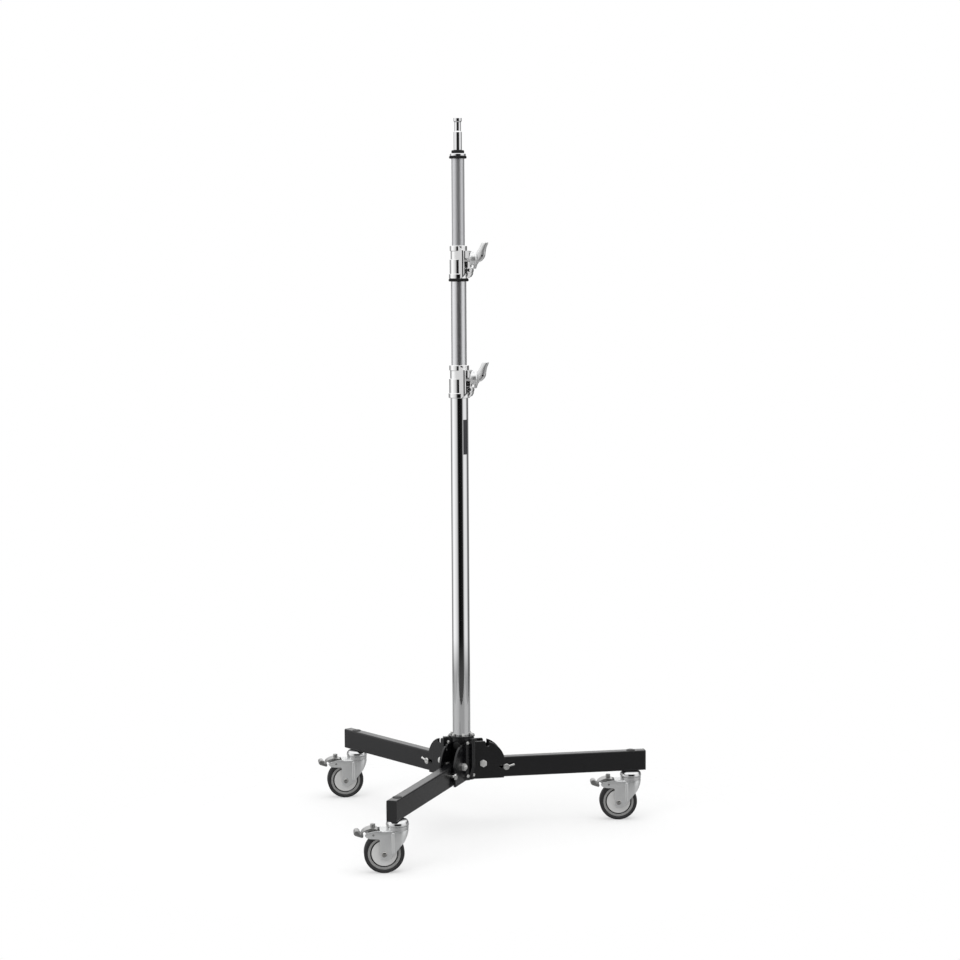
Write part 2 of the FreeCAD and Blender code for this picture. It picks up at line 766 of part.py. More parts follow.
def on_stem(thing, leg, rotation=None):
    """Put a piece made about the stem's axis on its leg."""
    angle = LEG_ANGLES[leg]
    place(thing, stem_u * cosine(angle), stem_u * sine(angle), 0.0, rotation or turned(angle))


def stem_plug(leg):
    """Plug in the top face of the leg above the stem."""
    body = new_body("stem_plug_" + leg)
    inside = s.plug_dia / 2 - s.fit_gap
    crown = leg_top + s.plug_lip
    revolve(body, [
        (0, leg_top - s.plug_depth + s.fit_gap),
        (inside, leg_top - s.plug_depth + s.fit_gap),
        (inside, leg_top),
        (s.plug_dia / 2 + s.plug_lip, leg_top),
        (s.plug_dia / 2 + s.plug_lip, leg_top + s.plug_lip / 2),
        (s.plug_dia / 2, crown),
        (0, crown),
    ])
    on_stem(body, leg)


# Lock pins: a cross pin in the leg's slot with a round head and a finger bar each side.
# They are drawn pulled outwards, just past the rim of the plates, so that the leg can fold.

LOCK_BAR_TILT = 15.0


def lock_pin(leg):
    """Cross pin with its two heads and finger bars."""
    u = pivot_u + lock_rest
    z = pivot_z - s.lock_drop
    inner = plate_outer + s.slide_gap
    middle = inner + s.lock_head / 2
    bar_way = FreeCAD.Vector(cosine(LOCK_BAR_TILT), 0, sine(LOCK_BAR_TILT))
    solids = [rod(lock_radius, middle * 2, (u, -middle, z), ALONG_V)]
    for side, start in ((1.0, inner), (-1.0, -inner - s.lock_head)):
        solids.append(rod(s.lock_head_dia / 2, s.lock_head, (u, start, z), ALONG_V))
        solids.append(rod(s.lock_bar_dia / 2, s.lock_bar, (u, middle * side, z), bar_way))
    pin = keep(joined_solids(solids), "lock_pin_" + leg)
    place(pin, 0.0, 0.0, 0.0, turned(LEG_ANGLES[leg]))


# Casters: a threaded stem and dome fixed to the leg, with the kingpin below them. The pressed
# fork swivels on the kingpin and carries the wheel on a bolt axle, and a pedal brakes the wheel.

DOME_SHARES = [(0.63, 1.0), (0.85, 0.88), (0.97, 0.6), (1.0, 0.25)]
RIB_SHARES = (0.23, 0.49)
PEDAL_PIVOT_SHARES = (1.8, 1.96)
SHOULDER_SHARE = 0.25


def caster_head(leg):
    """Stem, dome and kingpin in one."""
    body = new_body("caster_head_" + leg)
    dome_foot = s.fork_top + s.race_height + s.slide_gap
    dome_height = s.caster_height - dome_foot
    pin_foot = s.fork_top - s.fork_sheet - s.slide_gap
    corners = [
        (0, leg_top - s.plug_depth - s.slide_gap),
        (s.stem_dia / 2, leg_top - s.plug_depth - s.slide_gap),
        (s.stem_dia / 2, s.caster_height),
    ]
    for out, up in DOME_SHARES:
        corners.append((s.dome_dia / 2 * out, dome_foot + dome_height * up))
    corners += [
        (s.dome_dia / 2, dome_foot),
        (s.kingpin_dia / 2, dome_foot),
        (s.kingpin_dia / 2, pin_foot),
        (s.kingpin_head_dia / 2, pin_foot),
        (s.kingpin_head_dia / 2, pin_foot - s.kingpin_head),
        (0, pin_foot - s.kingpin_head),
    ]
    revolve(body, corners)
    on_stem(body, leg)


# Side view of a cheek from its front edge to its ear, and of the fork's round back, in shares of
# the wheel's trail and radius from the stem and floor.
CHEEK_SHARES = [
    (0.12, 1.093), (0.5, 0.827), (0.74, 0.712), (1.0, 0.68), (1.24, 0.728), (1.34, 0.853),
    (1.32, 1.147), (1.33, 1.76), (1.76, 1.755), (2.16, 1.78), (2.36, 1.86), (2.45, 1.97),
    (2.36, 2.04), (2.12, 2.1), (1.8, 2.15),
]
EAR_TOP_SHARE = 1.5
BACK_SHARES = [(-0.77, 2.09), (-0.66, 1.84), (-0.46, 1.573), (-0.2, 1.36)]
BACK_TOP_SHARE = -0.78
BACK_FOOT_SHARE = 1.31
# Side view of the pedal with its shoe over the tread and its bent end, in the same shares.
PEDAL_SHARES = [
    (1.44, 2.08), (1.68, 1.987), (1.88, 1.88), (2.06, 1.773), (2.16, 1.827), (2.18, 2.12),
    (2.4, 2.03), (2.52, 1.94), (2.5, 1.84), (2.58, 1.77), (2.96, 1.86), (3.0, 1.96),
    (2.76, 1.98), (2.7, 2.05), (2.56, 2.13), (2.32, 2.215), (2.0, 2.28), (1.76, 2.27),
    (1.5, 2.23),
]
PEDAL_TIP_SHARES = (3.02, 2.027)
PEDAL_POST_SHARES = (1.82, 2.22)
CHEEK_HOLE_SHARES = (1.03, 1.98)


def side_view(shares):
    """A side outline of the caster in sizes."""
    return [(s.wheel_trail * along, wheel_radius * up) for along, up in shares]


def caster_turn(leg):
    """Rotation that points a caster's trail to its heading."""
    return turned(CASTER_HEADINGS[leg])


def caster_fork(leg):
    """Pressed fork: a round back, two cheeks with ears, a top plate and the lower race."""
    body = new_body("caster_fork_" + leg)
    under_top = s.fork_top - s.fork_sheet
    back_foot = wheel_radius * BACK_FOOT_SHARE
    back = [(-s.fork_back, back_foot), (-s.fork_back, s.fork_top)]
    back.append((s.wheel_trail * BACK_TOP_SHARE, s.fork_top))
    pad(body, outline(new_sketch(body, "XZ_Plane"), back + side_view(BACK_SHARES)),
        cheek_outer * 2, middle=True)
    around = outline(new_sketch(body, "XY_Plane"), rectangle(
        -s.wheel_dia, s.wheel_dia, -s.wheel_dia, s.wheel_dia))
    pocket(body, circle(around, -s.fork_back, 0, cheek_outer))
    hollow = circle(new_sketch(body, "XY_Plane", under_top), -s.fork_back, 0, s.fork_inside / 2)
    pocket(body, hollow, s.fork_top)

    cheek = [(-s.fork_back, s.fork_top), (-s.fork_back, back_foot)] + side_view(CHEEK_SHARES)
    cheek.append((s.wheel_trail * EAR_TOP_SHARE, s.fork_top))
    pad(body, outline(new_sketch(body, "XZ_Plane"), cheek), cheek_outer * 2, middle=True)
    rib = outline(new_sketch(body, "XZ_Plane"), rectangle(
        s.wheel_trail * RIB_SHARES[0], s.wheel_trail * RIB_SHARES[1], wheel_radius, under_top))
    pad(body, rib, (cheek_outer + s.rib_proud) * 2, middle=True)
    inside = outline(new_sketch(body, "XZ_Plane"), [
        (-s.fork_back, s.rib_proud),
        (s.wheel_dia, s.rib_proud),
        (s.wheel_dia, s.caster_height),
        (s.fork_lip, s.caster_height),
        (s.fork_lip, under_top),
        (-s.fork_back, under_top),
    ])
    slot(body, inside, s.fork_inside)
    race = circle(new_sketch(body, "XY_Plane", under_top), 0, 0, s.race_dia / 2)
    pad(body, race, s.fork_sheet + s.race_height)
    bore = circle(new_sketch(body, "XY_Plane", s.fork_top), 0, 0, s.kingpin_dia / 2 + s.fit_gap)
    pocket(body, bore)
    holes = circle(new_sketch(body, "XZ_Plane"), s.wheel_trail, wheel_radius,
                   s.axle_dia / 2 + s.fit_gap)
    circle(holes, s.wheel_trail * PEDAL_PIVOT_SHARES[0],
           wheel_radius * PEDAL_PIVOT_SHARES[1], s.pedal_pin_dia / 2 + s.fit_gap)
    circle(holes, s.wheel_trail * CHEEK_HOLE_SHARES[0], wheel_radius * CHEEK_HOLE_SHARES[1],
           s.pedal_pin_dia / 2)
    pocket(body, holes)
    on_stem(body, leg, caster_turn(leg))


def on_axle(thing, leg):
    """Put a piece that is turned about the axle on its caster."""
    angle = LEG_ANGLES[leg]
    heading = CASTER_HEADINGS[leg]
    x = stem_u * cosine(angle) + s.wheel_trail * cosine(heading)
    y = stem_u * sine(angle) + s.wheel_trail * sine(heading)
    across = FreeCAD.Rotation(FreeCAD.Vector(1, 0, 0), -90.0)
    place(thing, x, y, wheel_radius, caster_turn(leg).multiply(across))


def axle(leg):
    """Bolt axle with a round head one side and a hex nut the other."""
    head_start = cheek_outer + s.fit_gap
    shank = rod(s.axle_dia / 2, head_start * 2, (0.0, 0.0, -head_start), UPRIGHT)
    head = rod(s.axle_head_dia / 2, s.axle_head, (0.0, 0.0, head_start), UPRIGHT)
    nut = hexagon(s.axle_head_dia, s.axle_head, (0.0, 0.0, -head_start - s.axle_head), UPRIGHT)
    bolt = keep(joined_solids([shank, head, nut]), "axle_" + leg)
    on_axle(bolt, leg)


def tyre(leg):
    """Rubber tread with rounded shoulders."""
    body = new_body("tread_" + leg)
    inner = wheel_radius - s.tread_depth
    half = s.wheel_width / 2
    shoulder = s.tread_depth * SHOULDER_SHARE
    upper = [
        (inner, half - shoulder),
        (wheel_radius - shoulder * 2, half),
        (wheel_radius - shoulder, half - shoulder / 3),
        (wheel_radius - shoulder / 3, half - shoulder),
        (wheel_radius, half - shoulder * 2),
    ]
    revolve(body, upper + [(out, -along) for out, along in reversed(upper)])
    on_axle(body, leg)


def wheel_hub(leg):
    """Plastic wheel centre with a raised rim band, a groove and a hub disc."""
    body = new_body("wheel_hub_" + leg)
    rim = wheel_radius - s.tread_depth
    half = s.wheel_width / 2 - s.tread_depth * SHOULDER_SHARE
    groove_outer = rim - s.rim_band
    groove_inner = groove_outer - s.rim_groove
    boss = s.wheel_boss_dia / 2
    upper = [
        (s.axle_dia / 2 + s.fit_gap, s.fork_inside / 2 - s.slide_gap),
        (boss, s.fork_inside / 2 - s.slide_gap),
        (boss, half),
        (groove_inner, half),
        (groove_inner, half - s.wheel_recess),
        (groove_outer, half - s.wheel_recess),
        (groove_outer, half),
        (rim, half),
    ]
    revolve(body, upper + [(out, -along) for out, along in reversed(upper)])
    on_axle(body, leg)


def brake_pedal(leg):
    """Pedal with its pin, shoe, release button and rounded end."""
    body = new_body("brake_pedal_" + leg)
    strip = outline(new_sketch(body, "XZ_Plane"), side_view(PEDAL_SHARES))
    pad(body, strip, s.pedal_width, middle=True)
    pin = circle(new_sketch(body, "XZ_Plane"), s.wheel_trail * PEDAL_PIVOT_SHARES[0],
                 wheel_radius * PEDAL_PIVOT_SHARES[1], s.pedal_pin_dia / 2)
    pad(body, pin, (cheek_outer + s.slide_gap) * 2, middle=True)
    tip = circle(new_sketch(body, "XZ_Plane"), s.wheel_trail * PEDAL_TIP_SHARES[0],
                 wheel_radius * PEDAL_TIP_SHARES[1], s.pedal_tip_dia / 2)
    pad(body, tip, s.pedal_tip_width, middle=True)
    post_foot = wheel_radius * PEDAL_POST_SHARES[1] - s.fork_sheet
    post = circle(new_sketch(body, "XY_Plane", post_foot),
                  s.wheel_trail * PEDAL_POST_SHARES[0], 0, s.pedal_post_dia / 2)
    pad(body, post, s.pedal_post + s.fork_sheet)
    on_stem(body, leg, caster_turn(leg))


for leg in LEG_ANGLES:
    leg_tube(leg)
    leg_end_cap(leg)
    stem_plug(leg)
    lock_pin(leg)
    caster_head(leg)
    caster_fork(leg)
    axle(leg)
    tyre(leg)
    wheel_hub(leg)
    brake_pedal(leg)


# Column and risers: seamless steel tubes that slide in each other.
# Each riser has a plastic guide foot, and a clamp collar closes the tube that it slides in.


def tube(name, outer, bottom, length):
    """A plain tube about the column's axis."""
    body = new_body(name)
    top = bottom + length
    revolve(body, rectangle(outer - s.tube_wall, outer, bottom, top))


def guide_foot(name, tube_outer, around, tube_bottom):
    """Guide foot under a riser: a plug in its tube and a flange in the tube round it."""
    body = new_body(name)
    plug = tube_outer - s.tube_wall - s.fit_gap
    flange = around - s.slide_gap
    revolve(body, [
        (0, tube_bottom - s.foot_flange),
        (flange, tube_bottom - s.foot_flange),
        (flange, tube_bottom),
        (plug, tube_bottom),
        (plug, tube_bottom + s.foot_plug),
        (0, tube_bottom + s.foot_plug),
    ])


column_outer = s.column_dia / 2
column_inner = column_outer - s.tube_wall
riser_one_outer = s.riser_one_dia / 2
riser_one_inner = riser_one_outer - s.tube_wall
riser_two_outer = s.riser_two_dia / 2
column_bottom = hub_bottom + s.foot_flange
column_top = column_bottom + s.column_length
lower_clamp = column_top - s.clamp_seat
rest_ring_foot = lower_clamp + s.clamp_height + s.riser_one_out
upper_clamp = rest_ring_foot + s.rest_ring
riser_one_top = upper_clamp + s.clamp_seat
riser_one_bottom = riser_one_top - s.riser_one_length
top_ring_foot = upper_clamp + s.clamp_height + s.riser_two_out
riser_two_top = top_ring_foot + s.rest_ring
riser_two_bottom = riser_two_top - s.riser_two_length

tube("column_tube", column_outer, column_bottom, s.column_length)
tube("riser_tube_lower", riser_one_outer, riser_one_bottom, s.riser_one_length)
tube("riser_tube_upper", riser_two_outer, riser_two_bottom, s.riser_two_length)
guide_foot("riser_foot_lower", riser_one_outer, column_inner, riser_one_bottom)
guide_foot("riser_foot_upper", riser_two_outer, riser_one_inner, riser_two_bottom)
guide_foot("column_foot", column_outer, sleeve_inner, column_bottom)


# Clamp collars: chromed zinc castings with a stepped round body, a flat-sided block with a
# hollow top edge, a boss for the clamp screw and an eye for a safety cable below it.

# Heights of the collar's steps, as shares of it, and the steps of the block's hollow top edge
# and rounded foot, as shares of its reach and of the height.
BAND_SHARES = (0.156, 0.594, 0.844)
BLOCK_TOP_SHARES = [(1.0, 0.85), (0.84, 0.865), (0.66, 0.9), (0.5, 0.95), (0.4, 1.0)]
BLOCK_FOOT_SHARES = [(1.0, 0.19), (0.96, 0.12), (0.84, 0.06), (0.66, 0.02), (0.54, 0.0)]
# Side views of the nose over the screw and of the web that carries the eye.
NOSE_SHARES = [(0.4, 0.61), (0.97, 0.63), (1.0, 0.7), (1.0, 0.8), (0.95, 0.84), (0.4, 0.85)]
NOSE_WIDTH_SHARE = 1.3
EYE_WEB_SHARES = [(0.7, 0.02), (0.86, 0.02), (1.08, 0.06), (1.22, 0.14), (1.24, 0.26),
                  (1.1, 0.36), (1.05, 0.55), (0.7, 0.62)]
EYE_WEB_WIDTH_SHARE = 0.8


def clamp_collar(name, tube_outer, bore, bottom):
    """Casting on the top end of a tube that the next tube slides through."""
    body = new_body(name)
    height = s.clamp_height
    step = s.clamp_step
    flange = tube_outer + s.clamp_flange
    wide = tube_outer + s.clamp_body
    neck = tube_outer + s.clamp_neck
    rim = tube_outer + s.clamp_rim
    flange_high, neck_low, rim_low = [bottom + height * share for share in BAND_SHARES]
    top = bottom + height
    half_block = tube_outer + s.block_side
    plan = new_sketch(body, "XY_Plane", bottom)
    outline(plan, rectangle(0, wide, -half_block, half_block))
    slab = pad(body, plan, height)
    round_edges(body, slab, UPRIGHT, lambda centre: centre.x > wide.value / 2, s.block_round)
    for shares, end in ((BLOCK_TOP_SHARES, top + step), (BLOCK_FOOT_SHARES, bottom - step)):
        corners = [(wide * out, bottom + height * up) for out, up in shares]
        corners += [(corners[-1][0], end), (wide * 2, end), (wide * 2, corners[0][1])]
        pocket(body, outline(new_sketch(body, "XZ_Plane"), corners))
    revolve(body, [
        (0, bottom),
        (flange - step, bottom),
        (flange, bottom + step),
        (flange, flange_high - step),
        (wide, flange_high),
        (wide, neck_low - step),
        (neck, neck_low),
        (neck, rim_low - step),
        (rim, rim_low),
        (rim, top - step),
        (rim - step, top),
        (0, top),
    ])
    axis_z = bottom + s.knob_height
    boss = circle(new_sketch(body, "YZ_Plane", wide / 2), 0, axis_z, s.boss_dia / 2)
    pad(body, boss, s.boss_reach - wide / 2)
    for shares, reach, thick in (
            (EYE_WEB_SHARES, s.eye_out, s.eye_thick * EYE_WEB_WIDTH_SHARE),
            (NOSE_SHARES, s.boss_reach, s.boss_dia * NOSE_WIDTH_SHARE)):
        web = new_sketch(body, "XZ_Plane")
        outline(web, [(reach * out, bottom + height * up) for out, up in shares])
        pad(body, web, thick, middle=True)
    eye_z = bottom + s.eye_up
    eye = circle(new_sketch(body, "XZ_Plane"), s.eye_out, eye_z, s.eye_dia / 2 + s.eye_wall)
    pad(body, eye, s.eye_thick, middle=True)
    pocket(body, circle(new_sketch(body, "XZ_Plane"), s.eye_out, eye_z, s.eye_dia / 2))
    screw_hole = circle(new_sketch(body, "YZ_Plane"), 0, axis_z, s.screw_dia / 2 + s.fit_gap)
    pocket(body, screw_hole, s.boss_reach * 2, forward=True)
    slide = circle(new_sketch(body, "XY_Plane", bottom), 0, 0, bore + s.slide_gap)
    pocket(body, slide)
    seat = circle(new_sketch(body, "XY_Plane", bottom), 0, 0, tube_outer + s.fit_gap)
    pocket(body, seat, s.clamp_seat, forward=True)
    place(body, 0.0, 0.0, 0.0, turned(CLAMP_HEADING))


# Wing of the knob, as shares of its span: how far past the boss, and how far above the screw.
WING_SHARES = [
    (0.09, -0.75), (0.21, -0.76), (0.245, -0.585), (0.32, -0.34), (0.515, -0.21), (0.63, -0.07),
    (0.68, 0.115), (0.665, 0.465), (0.715, 0.75), (0.79, 0.98), (0.765, 1.09), (0.56, 1.11),
    (0.455, 0.785), (0.375, 0.555), (0.28, 0.43), (0.16, 0.36), (0.09, -0.29),
]
WING_SPAN_SHARES = (1.4, 1.0)
WING_HOLE_SHARES = (0.59, 0.16)


def wing_knob(name, bottom):
    """Cast knob: a round hub on the clamp screw and a slanted wing."""
    body = new_body(name)
    start = s.boss_reach + s.knob_gap
    axis_z = bottom + s.knob_height
    across = s.knob_hub_dia * WING_SPAN_SHARES[0]
    high = s.knob_hub_dia * WING_SPAN_SHARES[1]
    hub = circle(new_sketch(body, "YZ_Plane", start), 0, axis_z, s.knob_hub_dia / 2)
    pad(body, hub, s.knob_hub)
    wing = new_sketch(body, "XZ_Plane")
    outline(wing, [(start + across * out, axis_z + high * up) for out, up in WING_SHARES])
    pad(body, wing, s.wing_thick, middle=True)
    hole = circle(new_sketch(body, "XZ_Plane"), start + across * WING_HOLE_SHARES[0],
                  axis_z + high * WING_HOLE_SHARES[1], s.wing_hole_dia / 2)
    pocket(body, hole)
    bore = circle(new_sketch(body, "YZ_Plane"), 0, axis_z, s.screw_dia / 2 + s.fit_gap)
    pocket(body, bore, s.screw_reach + s.fit_gap, forward=True)
    place(body, 0.0, 0.0, 0.0, turned(CLAMP_HEADING))


def clamp_screw(name, inner, bottom):
    """Steel screw from the knob to just short of the riser."""
    start = inner + s.slide_gap * 2
    axis_z = bottom + s.knob_height
    screw = rod(s.screw_dia / 2, s.screw_reach - start, (start, 0.0, axis_z), ALONG_U)
    whole = keep(joined_solids([screw, rod(s.screw_dia / 2 - s.fit_gap, s.fit_gap * 2,
                                           (start - s.fit_gap, 0.0, axis_z), ALONG_U)]), name)
    place(whole, 0.0, 0.0, 0.0, turned(CLAMP_HEADING))


clamp_collar("clamp_collar_lower", column_outer, riser_one_outer, lower_clamp)
clamp_collar("clamp_collar_upper", riser_one_outer, riser_two_outer, upper_clamp)
wing_knob("wing_knob_lower", lower_clamp)
wing_knob("wing_knob_upper", upper_clamp)
clamp_screw("clamp_screw_lower", riser_one_outer, lower_clamp)
clamp_screw("clamp_screw_upper", riser_two_outer, upper_clamp)


# Head of the stand: a rubber rest ring under the upper collar and under the cap, a chrome
# cap pushed in the upper riser, and the mounting stud pressed in the cap.

RING_BEVEL_SHARE = 0.24
bevel = s.rest_ring * RING_BEVEL_SHARE
ring("rest_ring", riser_one_outer + s.fit_gap, riser_one_outer + s.rest_ring_out,
     rest_ring_foot, s.rest_ring, bevel)
ring("top_ring", riser_two_outer + s.fit_gap, riser_two_outer + s.rest_ring_out,
     top_ring_foot, s.rest_ring, bevel)

cap_top = riser_two_top + s.cap_flange
cap_inside = riser_two_outer - s.tube_wall - s.fit_gap
cap_outer = riser_two_outer + s.cap_flange_out
stud_radius = s.stud_dia / 2
tail_radius = s.stud_tail_dia / 2
body = new_body("top_cap")
revolve(body, [
    (tail_radius + s.fit_gap, riser_two_top - s.cap_tail),
    (cap_inside, riser_two_top - s.cap_tail),
    (cap_inside, riser_two_top),
    (cap_outer, riser_two_top),
    (cap_outer, cap_top - bevel),
    (cap_outer - bevel, cap_top),
    (tail_radius + s.fit_gap, cap_top),
])
ring("stud_ring", tail_radius + s.fit_gap, stud_radius + s.o_ring_out,
     cap_top, s.o_ring, s.o_ring * RING_BEVEL_SHARE)

shank_foot = cap_top + s.o_ring
shank_top = shank_foot + s.stud_shank
neck_top = shank_top + s.stud_neck
stud_top = neck_top + s.stud_head
neck_radius = s.stud_neck_dia / 2
edge = s.stud_slope / 3
body = new_body("mounting_stud")
revolve(body, [
    (0, riser_two_top - s.stud_tail),
    (tail_radius, riser_two_top - s.stud_tail),
    (tail_radius, shank_foot),
    (stud_radius, shank_foot),
    (stud_radius, shank_top),
    (neck_radius, shank_top + s.stud_slope),
    (neck_radius, neck_top - s.stud_slope),
    (stud_radius, neck_top),
    (stud_radius, stud_top - edge),
    (stud_radius - edge, stud_top),
    (0, stud_top),
])


# Every object is up to date and every sub-part is a valid solid before any file is written.

doc.recompute()
faults = [thing.Label for thing in doc.Objects if {"Invalid", "Error"} & set(thing.State)]
for thing in KEPT:
    if thing.Shape.isNull() or not thing.Shape.isValid() or not thing.Shape.Solids:
        faults.append(thing.Label)
if faults:
    raise RuntimeError("these objects failed: " + ", ".join(faults))
for thing in KEPT:
    thing.Shape.exportStep("parts/%s.step" % thing.Label)
print("lock pin travel %.2f, stem at %.1f" % ((lock_rest - s.lock_seat).value, stem_u.value))
print("%d sub-parts, stud top at %.1f" % (len(KEPT), stud_top.value))
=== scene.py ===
import math

import bpy
import numpy as np
from mathutils import Matrix, Vector


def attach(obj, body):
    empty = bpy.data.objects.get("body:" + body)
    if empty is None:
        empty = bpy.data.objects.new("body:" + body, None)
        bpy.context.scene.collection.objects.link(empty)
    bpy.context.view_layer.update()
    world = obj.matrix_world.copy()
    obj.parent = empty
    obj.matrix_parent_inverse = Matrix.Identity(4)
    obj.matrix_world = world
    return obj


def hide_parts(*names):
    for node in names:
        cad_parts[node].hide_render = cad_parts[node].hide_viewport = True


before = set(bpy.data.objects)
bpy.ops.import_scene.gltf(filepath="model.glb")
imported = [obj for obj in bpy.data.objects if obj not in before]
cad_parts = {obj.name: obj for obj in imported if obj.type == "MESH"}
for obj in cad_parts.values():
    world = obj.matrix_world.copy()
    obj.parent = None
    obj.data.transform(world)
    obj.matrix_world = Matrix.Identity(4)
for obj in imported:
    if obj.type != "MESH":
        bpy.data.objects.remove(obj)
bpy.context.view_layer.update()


# Column and risers. Three drawn steel tubes that slide in each other. The column is polished
# and chromed bright, and the risers are chromed over a ground finish, so their reflections
# are softer.

MM = 0.001
COLUMN_RADIUS = 17.5 * MM
# The clouds' noise has this share of the grain's fineness, and noise seldom leaves this range.
CLOUD_SHARE = 0.045
NOISE_RANGE = (0.3, 0.7)


def linear(hex_colour):
    """sRGB hex to linear RGBA: c / 12.92 below 0.04045, else ((c + 0.055) / 1.055) ** 2.4."""
    channels = [int(hex_colour[i:i + 2], 16) / 255 for i in (0, 2, 4)]
    return [c / 12.92 if c <= 0.04045 else ((c + 0.055) / 1.055) ** 2.4 for c in channels] + [1.0]


def add_node(tree, kind, settings, inputs):
    """One shader node. Settings are its own properties, and each input is a value or a socket."""
    node = tree.nodes.new(kind)
    for name, value in settings.items():
        setattr(node, name, value)
    for name, value in inputs.items():
        if isinstance(value, bpy.types.NodeSocket):
            tree.links.new(value, node.inputs[name])
        else:
            node.inputs[name].default_value = value
    return node


def finish(name, low, high, rough, grain, bump, metallic=0.0, stretch=(1, 1, 1), edge=0.3):
    """A surface whose colour and roughness drift between two ends with one noise, whose grain
    gives a fine bump, and whose sharp edges catch light over a small rounding. Grain, bump and
    edge are in millimetres, and stretch lengthens the grain along an axis."""
    material = bpy.data.materials.new(name)
    material.use_nodes = True
    tree = material.node_tree
    shader = tree.nodes["Principled BSDF"]
    place = add_node(tree, "ShaderNodeTexCoord", {}, {})
    scale = [1.0 / (grain * MM * s) for s in stretch]
    spread = add_node(tree, "ShaderNodeMapping", {}, {"Vector": place.outputs["Object"],
                                                      "Scale": scale})
    fine = add_node(tree, "ShaderNodeTexNoise", {}, {"Vector": spread.outputs["Vector"],
                                                     "Scale": 1.0, "Detail": 3.0})
    cloud = add_node(tree, "ShaderNodeTexNoise", {}, {"Vector": spread.outputs["Vector"],
                                                      "Scale": CLOUD_SHARE, "Detail": 2.0})
    half_cloud = add_node(tree, "ShaderNodeMath", {"operation": "MULTIPLY"},
                          {0: cloud.outputs["Fac"], 1: 0.5})
    both = add_node(tree, "ShaderNodeMath", {"operation": "MULTIPLY_ADD"},
                    {0: fine.outputs["Fac"], 1: 0.5, 2: half_cloud.outputs[0]})
    tone = add_node(tree, "ShaderNodeMix", {"data_type": "RGBA"},
                    {0: both.outputs[0], 6: linear(low), 7: linear(high)})
    drift = add_node(tree, "ShaderNodeMapRange", {},
                     {"Value": both.outputs[0], "From Min": NOISE_RANGE[0],
                      "From Max": NOISE_RANGE[1], "To Min": rough[0], "To Max": rough[1]})
    relief = add_node(tree, "ShaderNodeBump", {}, {"Height": fine.outputs["Fac"],
                                                   "Distance": bump * MM, "Strength": 1.0})
    if edge:
        rounding = add_node(tree, "ShaderNodeBevel", {"samples": 6}, {"Radius": edge * MM})
        tree.links.new(rounding.outputs["Normal"], relief.inputs["Normal"])
    tree.links.new(tone.outputs[2], shader.inputs["Base Color"])
    tree.links.new(drift.outputs["Result"], shader.inputs["Roughness"])
    tree.links.new(relief.outputs["Normal"], shader.inputs["Normal"])
    shader.inputs["Metallic"].default_value = metallic
    return material


def dress(material, *names):
    """Give CAD nodes their finish."""
    for name in names:
        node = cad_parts[name]
        if not node.material_slots:
            node.data.materials.append(material)
        for slot in node.material_slots:
            slot.material = material


# Bright chrome over drawn tube: a clear mirror with faint draw lines along its length.
bright_chrome = finish("chrome_on_drawn_tube", "e9eaeb", "f3f3f4", (0.02, 0.05), 6.0, 0.003,
                       metallic=1.0, stretch=(1, 1, 30), edge=0)
# Chrome over a ground tube: the same metal with a soft, slightly cloudy mirror.
ground_chrome = finish("chrome_on_ground_tube", "e6e7e9", "f2f2f3", (0.3, 0.36), 5.0, 0.004,
                       metallic=1.0, stretch=(1, 1, 20), edge=0)
# The upper riser is ground a little coarser, so its mirror is duller.
dull_chrome = finish("chrome_on_coarsely_ground_tube", "d6d7d9", "e4e4e6", (0.4, 0.48), 5.0, 0.004,
                     metallic=1.0, stretch=(1, 1, 20), edge=0)
# Moulded black nylon with a dull skin. The same black is put inside the knobs' wing holes and the
# safety eyes as painted shade, and in the wheels' grooves as partly their dark colour and partly
# painted shade.
black_nylon_and_shade = finish("moulded_black_nylon_and_painted_shade", "141415", "1d1d1e", (0.42, 0.55), 0.8, 0.01)
dress(bright_chrome, "column_tube")
dress(ground_chrome, "riser_tube_lower")
dress(dull_chrome, "riser_tube_upper")
dress(black_nylon_and_shade, "column_foot", "riser_foot_lower", "riser_foot_upper")


def merge(*surfaces):
    """Several surfaces of points and faces as one."""
    points, faces, first = [], [], 0
    for own_points, own_faces in surfaces:
        points.append(own_points)
        faces += [tuple(index + first for index in face) for face in own_faces]
        first += len(own_points)
    return np.concatenate(points), faces


def skin(rings, loop=False):
    """A surface through rings of points, where rings[i, j] is point j round ring i. Quads join
    ring i to ring i + 1, and one face closes each end, or a loop joins both. Faces are turned
    round where the enclosed volume, the sum of p . (q x r) / 6, comes out negative."""
    rings = np.asarray(rings, float)
    rows, around = rings.shape[:2]
    if loop:
        rings = np.concatenate([rings, rings[:1]])
    index = np.arange(len(rings) * around).reshape(len(rings), around)
    if loop:
        index[-1] = index[0]
    nearer, further = index[:-1], index[1:]
    quads = np.stack([nearer, np.roll(nearer, -1, 1), np.roll(further, -1, 1), further], -1)
    quads = quads.reshape(-1, 4)
    points = rings.reshape(-1, 3)[:rows * around]
    faces = [tuple(quad) for quad in quads.tolist()]
    if not loop:
        faces.append(tuple(index[0][::-1].tolist()))
        faces.append(tuple(index[-1].tolist()))
    middle = points.mean(0)
    p, q, r, s = (points[quads[:, k]] - middle for k in range(4))
    volume = (p * np.cross(q, r)).sum() + (p * np.cross(r, s)).sum()
    if volume < 0:
        faces = [face[::-1] for face in faces]
    return points, faces


def make_piece(name, surface, material, body, stands_for=(), sharp=32.0):
    """A mesh object from a surface, smooth but for edges sharper than an angle, that rides on
    a body and may stand for CAD nodes."""
    points, faces = surface
    mesh = bpy.data.meshes.new(name)
    mesh.from_pydata(points.tolist(), [], faces)
    mesh.polygons.foreach_set("use_smooth", np.ones(len(mesh.polygons), bool))
    mesh.set_sharp_from_angle(angle=math.radians(sharp))
    mesh.materials.append(material)
    piece = bpy.data.objects.new(name, mesh)
    bpy.context.scene.collection.objects.link(piece)
    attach(piece, body)
    if stands_for:
        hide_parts(*stands_for)
    return piece


